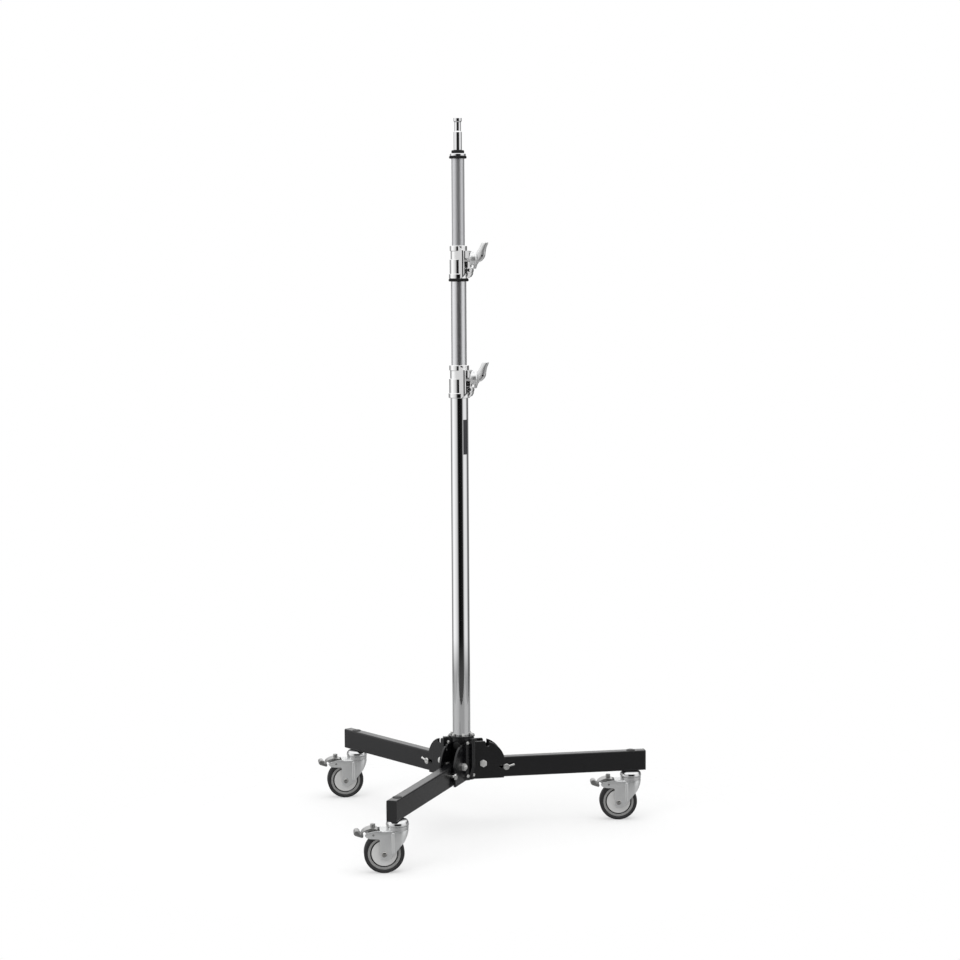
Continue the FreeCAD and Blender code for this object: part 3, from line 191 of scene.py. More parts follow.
def softened(corners, cut, steps=5, closed=True):
    """An outline whose corners become arcs. Each corner C is cut back along its two edges to A
    and B, by a length or by under half the edge, and the arc is (1-t)^2 A + 2t(1-t) C + t^2 B."""
    under_half = 0.47
    corners = np.asarray(corners, float)
    back = np.roll(corners, 1, 0) - corners
    ahead = np.roll(corners, -1, 0) - corners
    reach = [np.minimum(cut / np.linalg.norm(way, axis=1), under_half)[:, None]
             for way in (back, ahead)]
    start = corners + back * reach[0]
    end = corners + ahead * reach[1]
    t = np.linspace(0, 1, steps)[None, :, None]
    arcs = ((1 - t) ** 2 * start[:, None] + 2 * t * (1 - t) * corners[:, None]
            + t ** 2 * end[:, None])
    if closed:
        return arcs.reshape(-1, 2)
    return np.concatenate([corners[:1], arcs[1:-1].reshape(-1, 2), corners[-1:]])


def turned(profile, cut=0.0, steps=72):
    """Rings of a turned piece: point (r, z) of the profile goes to (r cos a, r sin a, z)."""
    profile = np.asarray(profile, float)
    if cut:
        profile = softened(profile, cut, closed=False)
    a = np.linspace(0, 2 * np.pi, steps, endpoint=False)
    r, z = profile[:, :1], profile[:, 1:]
    return np.stack([r * np.cos(a), r * np.sin(a), z + 0 * a], -1) * MM


def aimed(points, origin, direction):
    """Points made about the upright, tipped so that up goes along a direction, then moved."""
    turn = Vector((0, 0, 1)).rotation_difference(Vector(direction)).to_matrix()
    return points @ np.array(turn).T + np.asarray(origin)


# Label. A plain dark film, a tenth of a millimetre thick, is stuck on the column's right-hand
# side below the lower clamp, and curves with the tube.

FACING = -99.74
LABEL_TURNS = (24.0, 57.0)
LABEL_HEIGHTS = (744.0, 812.0)
LABEL_FACES = (0.02, 0.14)

turns = np.radians(FACING + np.linspace(*LABEL_TURNS, 24))
heights = np.linspace(*LABEL_HEIGHTS, 2) * MM
shells = []
for above_tube in LABEL_FACES:
    radius = COLUMN_RADIUS + above_tube * MM
    shells.append(np.stack([radius * np.cos(turns), radius * np.sin(turns)], -1))
outline = np.concatenate([shells[0], shells[1][::-1]])
rings = [np.concatenate([outline, np.full((len(outline), 1), z)], 1) for z in heights]
# Polyester film: even, dark and half glossy.
label_film = finish("dark_polyester_film", "26262a", "303034", (0.3, 0.36), 2.0, 0.002, edge=0.05)
make_piece("column_label", skin(rings), label_film, "base")


# Clamp collars and their wing knobs. Both are zinc castings under chrome: a little wavy where
# the mould shows, bright on their edges. A knob's hub turns on a steel screw, and its wing is
# bent outwards, thick at the hub and thinner at both ears.

CLAMP_TURN = -32.0
CLAMP_AXES = {"lower": 894.0, "upper": 1125.0}
CLAMP_BODIES = {"lower": "knob_lower", "upper": "knob_upper"}
CLAMP_PARENTS = {"lower": "base", "upper": "riser_lower"}
KNOB_HUB = [(4.3, 27.6), (12.8, 27.6), (14.0, 28.9), (13.9, 31.5), (13.1, 36.0), (11.7, 39.4),
            (8.8, 41.4), (0.4, 42.4)]
WING_INNER = [(31.3, -20.8), (31.6, -15.0), (33.0, -9.0), (34.5, 0.0), (36.5, 8.0), (39.5, 12.5),
              (42.5, 16.0), (46.0, 22.5), (49.8, 30.8)]
WING_OUTER = [(35.9, -21.2), (37.3, -16.2), (40.5, -9.3), (48.0, -5.6), (54.6, 2.5), (56.2, 12.5),
              (58.2, 21.0), (61.2, 27.5), (61.4, 30.6)]
WING_HALF = [4.2, 4.8, 5.6, 6.4, 6.5, 6.2, 5.7, 5.2, 4.4]
WING_SCOOP, WING_TIP_START, WING_TIP_RUN = 0.16, 0.93, 0.071
WING_HOLE = (50.9, 4.5)
WING_BORE = [(1.7, -9.0), (1.7, 9.0)]
# Painted shade: a black tube inside each wing's hole, as radius and end pairs.
WING_HOLE_SHADE = [(1.25, -5.8), (1.68, -5.8), (1.68, 5.8), (1.25, 5.8)]
EYE = (23.6, -23.4)
# Painted shade: a black tube inside the safety eye's bore, as radius and end pairs.
EYE_SHADE = [(2.75, -4.9), (3.19, -4.9), (3.19, 4.9), (2.75, 4.9)]


def through(knots, count):
    """A smooth curve through knots, Catmull-Rom: between k and k+1 it is half of
    2P1 + (P2-P0)t + (2P0-5P1+4P2-P3)t^2 + (3P1-P0-3P2+P3)t^3."""
    knots = np.asarray(knots, float)
    knots = knots[:, None] if knots.ndim == 1 else knots
    run = np.linspace(0, len(knots) - 1, count)
    k = np.minimum(run.astype(int), len(knots) - 2)
    t = (run - k)[:, None]
    pad = np.concatenate([2 * knots[:1] - knots[1:2], knots, 2 * knots[-1:] - knots[-2:-1]])
    a, b, c, d = pad[k], pad[k + 1], pad[k + 2], pad[k + 3]
    curve = 2 * b + (c - a) * t + (2 * a - 5 * b + 4 * c - d) * t ** 2
    return (curve + (3 * b - a - 3 * c + d) * t ** 3) / 2


def wing_rings(count=56, around=40):
    """Rings across the wing. Ring t is a rounded oblong about the middle of its inner and outer
    edge: edge direction times |cos|^0.7, thickness times |sin|^0.6, both drawn in to a point
    over the last part of each end by the root of 1 - s^2. The outer edge is thinned by
    WING_SCOOP cos(a/2)^4."""
    inner, outer = through(WING_INNER, count), through(WING_OUTER, count)
    half = through(WING_HALF, count)
    middle, reach = (inner + outer) / 2, (outer - inner) / 2
    end = np.abs(np.linspace(-1, 1, count))
    tip = np.clip((end - WING_TIP_START) / WING_TIP_RUN, 0, 1)
    shrink = np.sqrt(1 - tip ** 2)[:, None]
    a = np.linspace(0, 2 * np.pi, around, endpoint=False)
    wide = np.sign(np.cos(a)) * np.abs(np.cos(a)) ** 0.7
    deep = np.sign(np.sin(a)) * np.abs(np.sin(a)) ** 0.6
    x = middle[:, :1] + reach[:, :1] * shrink * wide
    z = middle[:, 1:] + reach[:, 1:] * shrink * wide
    y = half * shrink * deep * (1 - WING_SCOOP * np.cos(a / 2) ** 4)
    return np.stack([x, y, z], -1) * MM


def on_clamp(points, height):
    """Points about the clamp screw, x outwards and z up from it, turned and lifted in place."""
    turn = np.array(Matrix.Rotation(math.radians(CLAMP_TURN), 3, "Z"))
    return points @ turn.T + np.array([0, 0, height * MM])


def drilled(piece, cutter):
    """Take a closed surface out of a piece's mesh for good."""
    points, faces = cutter
    mesh = bpy.data.meshes.new("drill")
    mesh.from_pydata(points.tolist(), [], faces)
    drill = bpy.data.objects.new("drill", mesh)
    bpy.context.scene.collection.objects.link(drill)
    cut = piece.modifiers.new("drill", "BOOLEAN")
    cut.object, cut.solver = drill, "EXACT"
    whole = piece.evaluated_get(bpy.context.evaluated_depsgraph_get())
    piece.data = bpy.data.meshes.new_from_object(whole)
    piece.modifiers.clear()
    bpy.data.objects.remove(drill)


# Chrome over cast zinc: bright with a slow waviness.
cast_chrome = finish("chrome_on_cast_zinc", "f0f0f0", "f8f8f8", (0.05, 0.11), 5.0, 0.015,
                     metallic=1.0, edge=0.5)
# The knobs are chromed over a blasted casting, so they look evenly light.
knob_chrome = finish("satin_chrome_on_cast_zinc", "e9eaea", "f4f4f4", (0.26, 0.34), 3.0, 0.01,
                     metallic=0.85, edge=0.4)
# Bright zinc over machined steel.
zinc_steel = finish("bright_zinc_on_machined_steel", "a9a9a7", "c2c2c0", (0.2, 0.3), 0.9, 0.004,
                    metallic=1.0, edge=0.2)
dress(cast_chrome, "clamp_collar_lower", "clamp_collar_upper")
dress(zinc_steel, "clamp_screw_lower", "clamp_screw_upper")
for end, height in CLAMP_AXES.items():
    hub = aimed(turned(KNOB_HUB, cut=1.6), (0, 0, 0), (1, 0, 0))
    wing = skin(on_clamp(wing_rings(), height))
    knob = make_piece("wing_knob_" + end + "_cast", merge(skin(on_clamp(hub, height)), wing),
                      knob_chrome, CLAMP_BODIES[end], ("wing_knob_" + end,), sharp=50.0)
    at = np.array([WING_HOLE[0], 0.0, WING_HOLE[1]]) * MM
    bore = aimed(turned(WING_BORE, steps=32), at, (0, 1, 0))
    drilled(knob, skin(on_clamp(bore, height)))
    # A black tube lines the drilled hole as painted shade, darkening its inside.
    hole_shade = aimed(turned(WING_HOLE_SHADE, steps=32), at, (0, 1, 0))
    make_piece("wing_hole_painted_shade_" + end, skin(on_clamp(hole_shade, height), loop=True), black_nylon_and_shade,
               CLAMP_BODIES[end])
    # A black tube lines the safety eye's bore as painted shade, darkening its inside.
    at = np.array([EYE[0], 0.0, EYE[1]]) * MM
    eye_shade = aimed(turned(EYE_SHADE, steps=32), at, (0, 1, 0))
    make_piece("safety_eye_painted_shade_" + end, skin(on_clamp(eye_shade, height), loop=True), black_nylon_and_shade,
               CLAMP_PARENTS[end])


# Head of the stand. Rubber rest rings sit under the upper collar and under a turned chrome cap,
# and a rubber ring seats round the foot of the stud. The stud is turned steel, chromed, with a
# neck that a clamp's screw bites into.

# Each ring's body, inner and outer radius, and lower and upper face.
REST_RINGS = {"rest_ring": ("riser_lower", 15.1, 19.5, 1080.0, 1085.0),
              "top_ring": ("riser_upper", 12.6, 17.0, 1316.1, 1321.0),
              "stud_ring": ("riser_upper", 7.1, 12.4, 1326.0, 1332.0)}
RING_BULGE, BULGE_SHARE = 1.9, 0.38
CAP_PROFILE = [(7.1, 1296.0), (10.9, 1296.0), (10.9, 1321.0), (15.7, 1321.0), (15.7, 1324.8),
               (14.5, 1326.0), (7.1, 1326.0)]
STUD_PROFILE = [(0.4, 1301.0), (7.0, 1301.0), (7.0, 1332.0), (8.0, 1332.0), (8.0, 1366.6),
                (6.5, 1368.6), (6.5, 1385.4), (8.0, 1387.2), (8.0, 1393.2), (7.3, 1394.0),
                (0.4, 1394.0)]

# Black rubber: dull, with a faint bloom.
black_rubber = finish("moulded_black_rubber", "090909", "121212", (0.62, 0.8), 1.1, 0.02)
for name, (body, inner, outer, low, high) in REST_RINGS.items():
    bulge = min(RING_BULGE, (high - low) * BULGE_SHARE)
    profile = [(inner, low), (outer, low), (outer, high), (inner, high)]
    rings = turned(softened(profile, bulge, steps=8))
    make_piece(name + "_moulded", skin(rings, loop=True), black_rubber, body, (name,), sharp=60.0)
make_piece("top_cap_turned", skin(turned(softened(CAP_PROFILE, 0.5)), loop=True), bright_chrome,
           "riser_upper", ("top_cap",))
make_piece("stud_turned", skin(turned(STUD_PROFILE, cut=0.7)), bright_chrome, "riser_upper",
           ("mounting_stud",))


# Hub. A steel sleeve with a flange, and six pressed side plates round it, all under one satin
# black powder coat. Zinc-plated cap screws hold the flange and the plates.

LEG_TURNS = {"a": 0.0, "b": -120.0, "c": 120.0}
CHAMFER_SHARE, SOCKET_SHARE, SOCKET_RIM = 0.12, 0.84, 1.12
# Heads as radius, height and socket depth, and their seats as radius and height.
HUB_SCREW_HEAD, HUB_SCREW_SEAT = (2.85, 4.0, 2.2), (20.55, 187.0)
HUB_SCREW_TURNS = [30.0 + 60.0 * k for k in range(6)]
PLATE_SCREW_HEAD, PLATE_SCREW_RADIUS = (3.0, 2.4, 1.3), 27.9
PLATE_SCREW_HEIGHTS = (109.0, 175.0)
PLATE_SCREW_TURNS = [leg + side for leg in LEG_TURNS.values() for side in (45.0, -45.0)]


def hexagon(flats, a):
    """Distance from the middle to a hexagon's side, flats / 2 / cos(angle off the side)."""
    return flats / 2 / np.cos((a + np.pi / 6) % (np.pi / 3) - np.pi / 6)


def cap_screw(radius, height, depth, steps=72):
    """Rings of a screw head: up its side, over a small chamfer, across to a hexagonal socket
    and down to the socket's floor."""
    a = np.linspace(0, 2 * np.pi, steps, endpoint=False)
    chamfer = radius * CHAMFER_SHARE
    socket = hexagon(radius * SOCKET_SHARE, a)
    stations = [(radius + 0 * a, 0.0), (radius + 0 * a, height - chamfer),
                (radius - chamfer + 0 * a, height), (socket * SOCKET_RIM, height),
                (socket, height - chamfer / 2), (socket, height - depth)]
    return np.stack([np.stack([r * np.cos(a), r * np.sin(a), z + 0 * a], -1)
                     for r, z in stations]) * MM


def round_the_axis(radius, turn, height):
    """A point at a radius and a turn about the column."""
    return np.array([radius * math.cos(math.radians(turn)), radius * math.sin(math.radians(turn)),
                     height]) * MM


# Dull zinc plate on the hub's bolts and screws.
plated_screws = finish("zinc_plate_on_steel_screws", "dededc", "ededeb", (0.42, 0.5), 0.9, 0.004,
                       metallic=0.8, edge=0.3)
# Satin black powder coat on steel: baked powder leaves a very fine orange peel.
powder_coat = finish("satin_black_powder_coat", "0b0b0d", "121214", (0.22, 0.3), 1.3, 0.008,
                     edge=1.4)
plate_names = ["side_plate_%s_%s" % (leg, side) for leg in "abc" for side in ("left", "right")]
dress(powder_coat, "hub_sleeve", *plate_names)
screws = []
for turn in HUB_SCREW_TURNS:
    seat = round_the_axis(HUB_SCREW_SEAT[0], turn, HUB_SCREW_SEAT[1])
    screws.append(skin(aimed(cap_screw(*HUB_SCREW_HEAD), seat, (0, 0, 1))))
make_piece("hub_screw_heads", merge(*screws), plated_screws, "base", ("hub_screws",), sharp=25.0)
screws = []
for turn in PLATE_SCREW_TURNS:
    for height in PLATE_SCREW_HEIGHTS:
        seat = round_the_axis(PLATE_SCREW_RADIUS, turn, height)
        screws.append(skin(aimed(cap_screw(*PLATE_SCREW_HEAD), seat, seat * (1, 1, 0))))
make_piece("plate_screw_heads", merge(*screws), plated_screws, "base", ("plate_screws",),
           sharp=25.0)


# Leg pivots. A plated hex bolt and nut clamp each leg between its two plates, with a spacer
# ring each side, and a rubber button on the sleeve stops the leg when it is folded up.

PIVOT = (40.0, 131.0)
PLATE_OUTER = 17.0
HEX_FLATS, BOLT_HEAD, NUT_HEIGHT = 13.0, 5.0, 6.2
# The chamfer's rim is this share of half the flats. Crown: shares of the rim, and their rise.
RIM_SHARE, CROWN = 0.97, [(0.72, 0.25), (0.1, 0.3)]
BOLT_END = [(4.0, 0.0), (4.0, 8.0), (3.3, 8.7), (0.3, 8.8)]
BUMPER = [(7.0, 21.5), (7.0, 29.2), (6.2, 30.3), (4.4, 30.65), (0.4, 30.7)]
BUMPER_HEIGHT = 170.0


def hex_head(flats, height, steps=96):
    """Rings of a hex head: straight up its six sides to a chamfer cone of 30 degrees, whose
    height above each point is (side distance - rim radius) tan 30, then in over the crown."""
    a = np.linspace(0, 2 * np.pi, steps, endpoint=False)
    side = hexagon(flats, a)
    rim = flats / 2 * RIM_SHARE
    cone = height - (side - rim) * math.tan(math.radians(30))
    stations = [(side, 0.0), (side, cone), (rim + 0 * a, height)]
    stations += [(rim * share + 0 * a, height + rise) for share, rise in CROWN]
    return np.stack([np.stack([r * np.cos(a), r * np.sin(a), z + 0 * a], -1)
                     for r, z in stations]) * MM


def on_leg(points, turn):
    """Points in a leg's frame, u outwards and v across, turned about the column."""
    return points @ np.array(Matrix.Rotation(math.radians(turn), 3, "Z")).T


bolts, nuts, buttons = [], [], []
for turn in LEG_TURNS.values():
    at_bolt = np.array([PIVOT[0], -PLATE_OUTER, PIVOT[1]]) * MM
    at_nut = np.array([PIVOT[0], PLATE_OUTER, PIVOT[1]]) * MM
    bolts.append(skin(on_leg(aimed(hex_head(HEX_FLATS, BOLT_HEAD), at_bolt, (0, -1, 0)), turn)))
    nuts.append(skin(on_leg(aimed(hex_head(HEX_FLATS, NUT_HEIGHT), at_nut, (0, 1, 0)), turn)))
    bolts.append(skin(on_leg(aimed(turned(BOLT_END), at_nut, (0, 1, 0)), turn)))
    button = aimed(turned(BUMPER, cut=0.7), np.array([0, 0, BUMPER_HEIGHT]) * MM, (1, 0, 0))
    buttons.append(skin(on_leg(button, turn)))
make_piece("pivot_bolt_heads", merge(*bolts), plated_screws, "base", ("pivot_bolts",), sharp=25.0)
make_piece("pivot_nut_heads", merge(*nuts), plated_screws, "base", ("pivot_nuts",), sharp=25.0)
make_piece("leg_bumper_buttons", merge(*buttons), black_rubber, "base", ("leg_bumpers",))
dress(zinc_steel, "pivot_spacers")


# Legs. Welded rectangular tube under the same powder coat, with a moulded cap pushed in its end
# and a round plug over the caster's stem.

PLUG_PROFILE = [(7.4, 134.5), (7.4, 140.0), (8.7, 140.0), (8.7, 140.7), (7.2, 141.2), (0.4, 141.2)]
STEM_U = 344.0

leg_coat = finish("satin_black_powder_coat_on_tube", "0c0c0e", "141416", (0.2, 0.28), 1.4, 0.008,
                  edge=0.6)
for leg, turn in LEG_TURNS.items():
    dress(leg_coat, "leg_tube_" + leg)
    dress(black_nylon_and_shade, "leg_end_cap_" + leg)
    stem = round_the_axis(STEM_U, turn, 0.0)
    plug = turned(PLUG_PROFILE, cut=0.4) + stem
    make_piece("stem_plug_%s_moulded" % leg, skin(plug), black_nylon_and_shade, "leg_" + leg,
               ("stem_plug_" + leg,))


# Lock pins. A turned cross pin with a round head and a short finger bar on each side, plated
# bright. It is drawn pulled out of its notch, as the solids are.

LOCK = (86.44, 122.0)
LOCK_SHANK = [(3.0, -18.0), (3.0, 18.0)]
LOCK_HEAD = [(5.6, 0.0), (6.3, 0.6), (6.3, 3.2), (5.4, 4.0), (2.2, 4.0), (1.8, 3.6), (0.3, 3.6)]
LOCK_BAR = [(2.0, 3.0), (2.0, 12.8), (2.3, 13.4), (2.5, 14.9), (2.1, 16.4), (1.2, 17.0),
            (0.2, 17.1)]
HEAD_GAP, BAR_GAP, BAR_TILT = 0.3, 2.3, 15.0


def lock_pin(turn):
    """Cross pin, two domed heads with a waist, and two bars that end in a ball. Heads and bars
    stand off the side plates by their gaps."""
    u, z = LOCK
    tilt = math.radians(BAR_TILT)
    parts = [skin(aimed(turned(LOCK_SHANK), np.array([u, 0, z]) * MM, (0, 1, 0)))]
    for side in (1.0, -1.0):
        at = np.array([u, side * (PLATE_OUTER + HEAD_GAP), z]) * MM
        parts.append(skin(aimed(turned(LOCK_HEAD, cut=0.5), at, (0, side, 0))))
        at = np.array([u, side * (PLATE_OUTER + BAR_GAP), z]) * MM
        bar = turned(LOCK_BAR, cut=0.8)
        parts.append(skin(aimed(bar, at, (math.cos(tilt), 0, math.sin(tilt)))))
    points, faces = merge(*parts)
    return on_leg(points, turn), faces


# Nickel-bright plating on turned steel.
bright_pin = finish("bright_nickel_on_turned_steel", "cfcfcd", "e2e2e0", (0.1, 0.2), 0.9, 0.003,
                    metallic=1.0, edge=0.2)
for leg, turn in LEG_TURNS.items():
    make_piece("lock_pin_%s_turned" % leg, lock_pin(turn), bright_pin, "lock_" + leg,
               ("lock_pin_" + leg,))


# Casters, fixed part. A domed cover over the swivel bearing is drawn from bright steel, and the
# kingpin is riveted below it. The threaded stem above is hidden in the leg.

HEADINGS = {"a": 171.0, "b": 174.0, "c": 178.0}
HEAD_PROFILE = [(0.4, 133.7), (5.0, 133.7), (5.0, 100.0), (13.4, 99.8), (18.1, 98.3), (20.6, 95.0),
                (21.25, 91.2), (21.25, 87.8), (4.0, 87.8), (4.0, 78.7), (6.2, 78.7), (7.0, 77.7),
                (6.4, 76.3), (0.4, 76.2)]

bright_dome = finish("bright_zinc_on_drawn_steel", "dcdddd", "ebebec", (0.05, 0.1), 5.0, 0.006,
                     metallic=1.0, edge=0.3)
for leg, turn in LEG_TURNS.items():
    stem = round_the_axis(STEM_U, turn, 0.0)
    rings = turned(HEAD_PROFILE, cut=1.6) + stem
    make_piece("caster_cover_%s" % leg, skin(rings), bright_dome, "leg_" + leg,
               ("caster_head_" + leg,))


# Casters, fork. One pressed steel sheet, bent down into two cheeks with a rib in each, round at
# the back, and drawn out behind the wheel into two ears for the brake. Satin zinc plate over the
# pressing, and a turned race on top.

CHEEK = [(-3.5, 79.8), (-3.5, 49.1), (3.0, 41.0), (12.5, 31.0), (18.5, 26.7), (25.0, 25.5),
         (31.0, 27.3), (33.5, 32.0), (33.0, 43.0), (33.2, 66.0), (44.0, 65.8), (54.0, 66.8),
         (59.0, 69.8), (61.2, 73.9), (59.0, 76.5), (53.0, 78.8), (45.0, 80.6), (37.5, 81.4),
         (31.0, 81.2), (29.0, 79.8)]
BACK_EDGE = [(-20.5, 81.0), (-19.3, 78.4), (-16.5, 69.0), (-11.5, 59.0), (-5.0, 51.0), (3.0, 41.0)]
CHEEK_INNER, CHEEK_OUTER, FORK_TOP = 14.5, 17.0, 81.5
BACK_X, LIP_X = -3.5, 33.0
# The round back runs this far into the cheeks, stops this far below the top, and is this much
# thicker than they are on each face. The top's rim bends from this height, tucked in and down.
BACK_RUNS, BACK_DROP, BACK_PROUD = (4.5, 2.0), 1.7, 0.02
BEND_HEIGHT, BEND_TUCK = 78.9, (0.6, 0.1)
RIB_PILL = [(5.5, 37.0), (12.6, 37.0), (12.6, 78.0), (5.5, 78.0)]
RIB_MIDDLE = [(9.05, 40.55), (9.05, 74.45)]
RIB_DRAW, RIB_SUNK, RIB_RISE = 0.96, 0.9, 1.9
RACE = [(4.2, FORK_TOP - 0.5), (20.3, FORK_TOP - 0.5), (20.5, 84.0), (20.5, 86.9), (20.0, 87.4),
        (4.2, 87.4)]


def slab(outline, low, high, edge=0.5, steps=4):
    """Rings of a plate with rounded rims. The outline is drawn in by edge (1 - sin a) along its
    normals at each face, while the depth runs over edge (1 - cos a). The normals point out by
    the sign of the area, the sum of x y' - y x' from each point to the next."""
    outline = np.asarray(outline, float)
    along = np.roll(outline, -1, 0) - np.roll(outline, 1, 0)
    (x, y), (next_x, next_y) = outline.T, np.roll(outline, -1, 0).T
    area = (x * next_y - y * next_x).sum()
    outwards = np.stack([along[:, 1], -along[:, 0]], -1) * np.sign(area)
    outwards /= np.linalg.norm(outwards, axis=1)[:, None]
    a = np.linspace(0, np.pi / 2, steps)
    drawn_in = edge * (1 - np.sin(a))
    depth = edge * (1 - np.cos(a))
    drawn_in = np.concatenate([drawn_in, drawn_in[::-1]])
    depth = np.concatenate([low + depth, (high - depth)[::-1]])
    flat = outline[None] - outwards[None] * drawn_in[:, None, None]
    level = np.broadcast_to(depth[:, None, None], flat.shape[:2] + (1,))
    return np.concatenate([flat[..., :1], level, flat[..., 1:]], -1) * MM


def on_caster(points, leg):
    """Points in a caster's frame, x along its trail, y across and z up, put under its leg."""
    spin = np.array(Matrix.Rotation(math.radians(HEADINGS[leg]), 3, "Z"))
    return points @ spin.T + round_the_axis(STEM_U, LEG_TURNS[leg], 0.0)


def round_back(count=44, rim=0.5, corner=4):
    """Rings of the fork's round back: upright sheet on a half circle about BACK_X that runs a
    little way into both cheeks, with its lower edge after BACK_EDGE. A ring is the sheet's
    section, each of its corners an arc of radius rim."""
    middle = (CHEEK_INNER + CHEEK_OUTER) / 2
    half = (CHEEK_OUTER - CHEEK_INNER) / 2 + BACK_PROUD
    phi = np.linspace(np.pi / 2, 3 * np.pi / 2, count)
    x = BACK_X + np.concatenate([BACK_RUNS, middle * np.cos(phi), BACK_RUNS[::-1]])
    outwards = np.concatenate([[np.pi / 2] * 2, phi, [3 * np.pi / 2] * 2])
    y = middle * np.sin(outwards)
    low = np.interp(x, *np.transpose(BACK_EDGE))
    high = FORK_TOP - BACK_DROP + 0 * low
    a = np.linspace(0, np.pi / 2, corner)
    turn = np.concatenate([a, a + np.pi / 2, a + np.pi, a + 3 * np.pi / 2])
    side = np.repeat([1, -1, -1, 1], corner)
    top = np.repeat([1, 1, 0, 0], corner)
    across = side * (half - rim) + rim * np.cos(turn)
    z = np.where(top, high[:, None] - rim, low[:, None] + rim) + rim * np.sin(turn)
    return np.stack([x[:, None] + across * np.cos(outwards)[:, None],
                     y[:, None] + across * np.sin(outwards)[:, None], z], -1) * MM


def top_plate():
    """Rings of the fork's top: a flat tongue with a half-round back, whose rim bends down to the
    cheeks over a quarter circle."""
    phi = np.linspace(np.pi / 2, 3 * np.pi / 2, 40)
    back = np.stack([BACK_X + CHEEK_OUTER * np.cos(phi), CHEEK_OUTER * np.sin(phi)], -1)
    outline = np.concatenate([[(LIP_X, CHEEK_OUTER)], back, [(LIP_X, -CHEEK_OUTER)]])
    bend = FORK_TOP - BEND_HEIGHT
    a = np.linspace(0, np.pi / 2, 8)
    drawn_in = np.concatenate([[BEND_TUCK[0]], bend * (1 - np.cos(a))])
    level = np.concatenate([[BEND_HEIGHT - BEND_TUCK[1]], BEND_HEIGHT + bend * np.sin(a)])
    centre = np.stack([np.maximum(outline[:, 0], BACK_X), 0 * outline[:, 0]], -1)
    inwards = centre - outline
    inwards /= np.linalg.norm(inwards, axis=1)[:, None]
    flat = outline[None] + inwards[None] * drawn_in[:, None, None]
    return np.concatenate([flat, np.broadcast_to(level[:, None, None], flat.shape[:2] + (1,))],
                          -1) * MM


def rib(side, steps=12):
    """The pressed rib of a cheek: a pill in side view, whose section is a parabola. Ring t is
    drawn in by RIB_DRAW t of the half width, and stands RIB_RISE t (2 - t) above its foot,
    which is sunk in the cheek."""
    pill = softened(RIB_PILL, 3.5, steps=8)
    middle = np.clip(pill, *RIB_MIDDLE)
    t = np.linspace(0, 1, steps)[:, None, None]
    flat = pill + (middle - pill) * RIB_DRAW * t
    depth = side * (CHEEK_OUTER - RIB_SUNK + RIB_RISE * t * (2 - t)) + 0 * flat[..., :1]
    return np.concatenate([flat[..., :1], depth, flat[..., 1:]], -1) * MM


# Satin zinc on pressed steel: pale grey with a faint cloudiness.
satin_zinc = finish("satin_zinc_on_pressed_steel", "dcddde", "ecedec", (0.28, 0.38), 3.0, 0.01,
                    metallic=0.75, edge=0.3)
cheek_line = softened(CHEEK, 4.5, steps=7)
for leg in LEG_TURNS:
    parts = [slab(cheek_line, CHEEK_INNER, CHEEK_OUTER),
             slab(cheek_line, -CHEEK_OUTER, -CHEEK_INNER),
             round_back(), top_plate(), rib(1.0), rib(-1.0)]
    parts = [skin(on_caster(rings, leg)) for rings in parts]
    make_piece("caster_fork_%s_pressed" % leg, merge(*parts), satin_zinc, "caster_" + leg,
               ("caster_fork_" + leg,))
    make_piece("caster_race_%s_turned" % leg, skin(on_caster(turned(RACE), leg), loop=True),
               bright_dome, "caster_" + leg)


# Wheels. A grey moulded centre turns on a plated bolt and carries a black rubber tread that is
# moulded round its rim. On each face a darker band covers the rim and a black ring lies in the
# groove, partly the groove's own dark colour and partly painted shade in the recess, and the axle
# ends in domed heads.

WHEEL_RADIUS, TRAIL = 37.5, 25.0
RIM_BAND = [(26.15, 9.9), (30.25, 9.9), (30.25, 10.3), (29.6, 10.6), (26.8, 10.6), (26.15, 10.3)]
# A black ring in each groove: partly its dark colour, partly painted shade in the recess.
GROOVE_SHADE_RING = [(23.6, 7.25), (26.0, 7.25), (26.0, 8.9), (23.6, 8.9)]
AXLE_SHANK = [(3.0, -17.2), (3.0, 17.2)]
AXLE_HEAD = [(5.5, 17.15), (5.4, 17.9), (4.4, 18.9), (2.4, 19.4), (0.3, 19.5)]

# Moulded light grey polypropylene.
wheel_plastic = finish("moulded_grey_polypropylene", "c4c4c3", "d0d0cf", (0.38, 0.5), 1.0, 0.01,
                       edge=0.3)
# A mid grey over the rim bands, darker than the wheel's centre.
rim_band_grey = finish("mid_grey_rim_band", "868685", "929291", (0.42, 0.55), 1.0, 0.01,
                     edge=0.2)
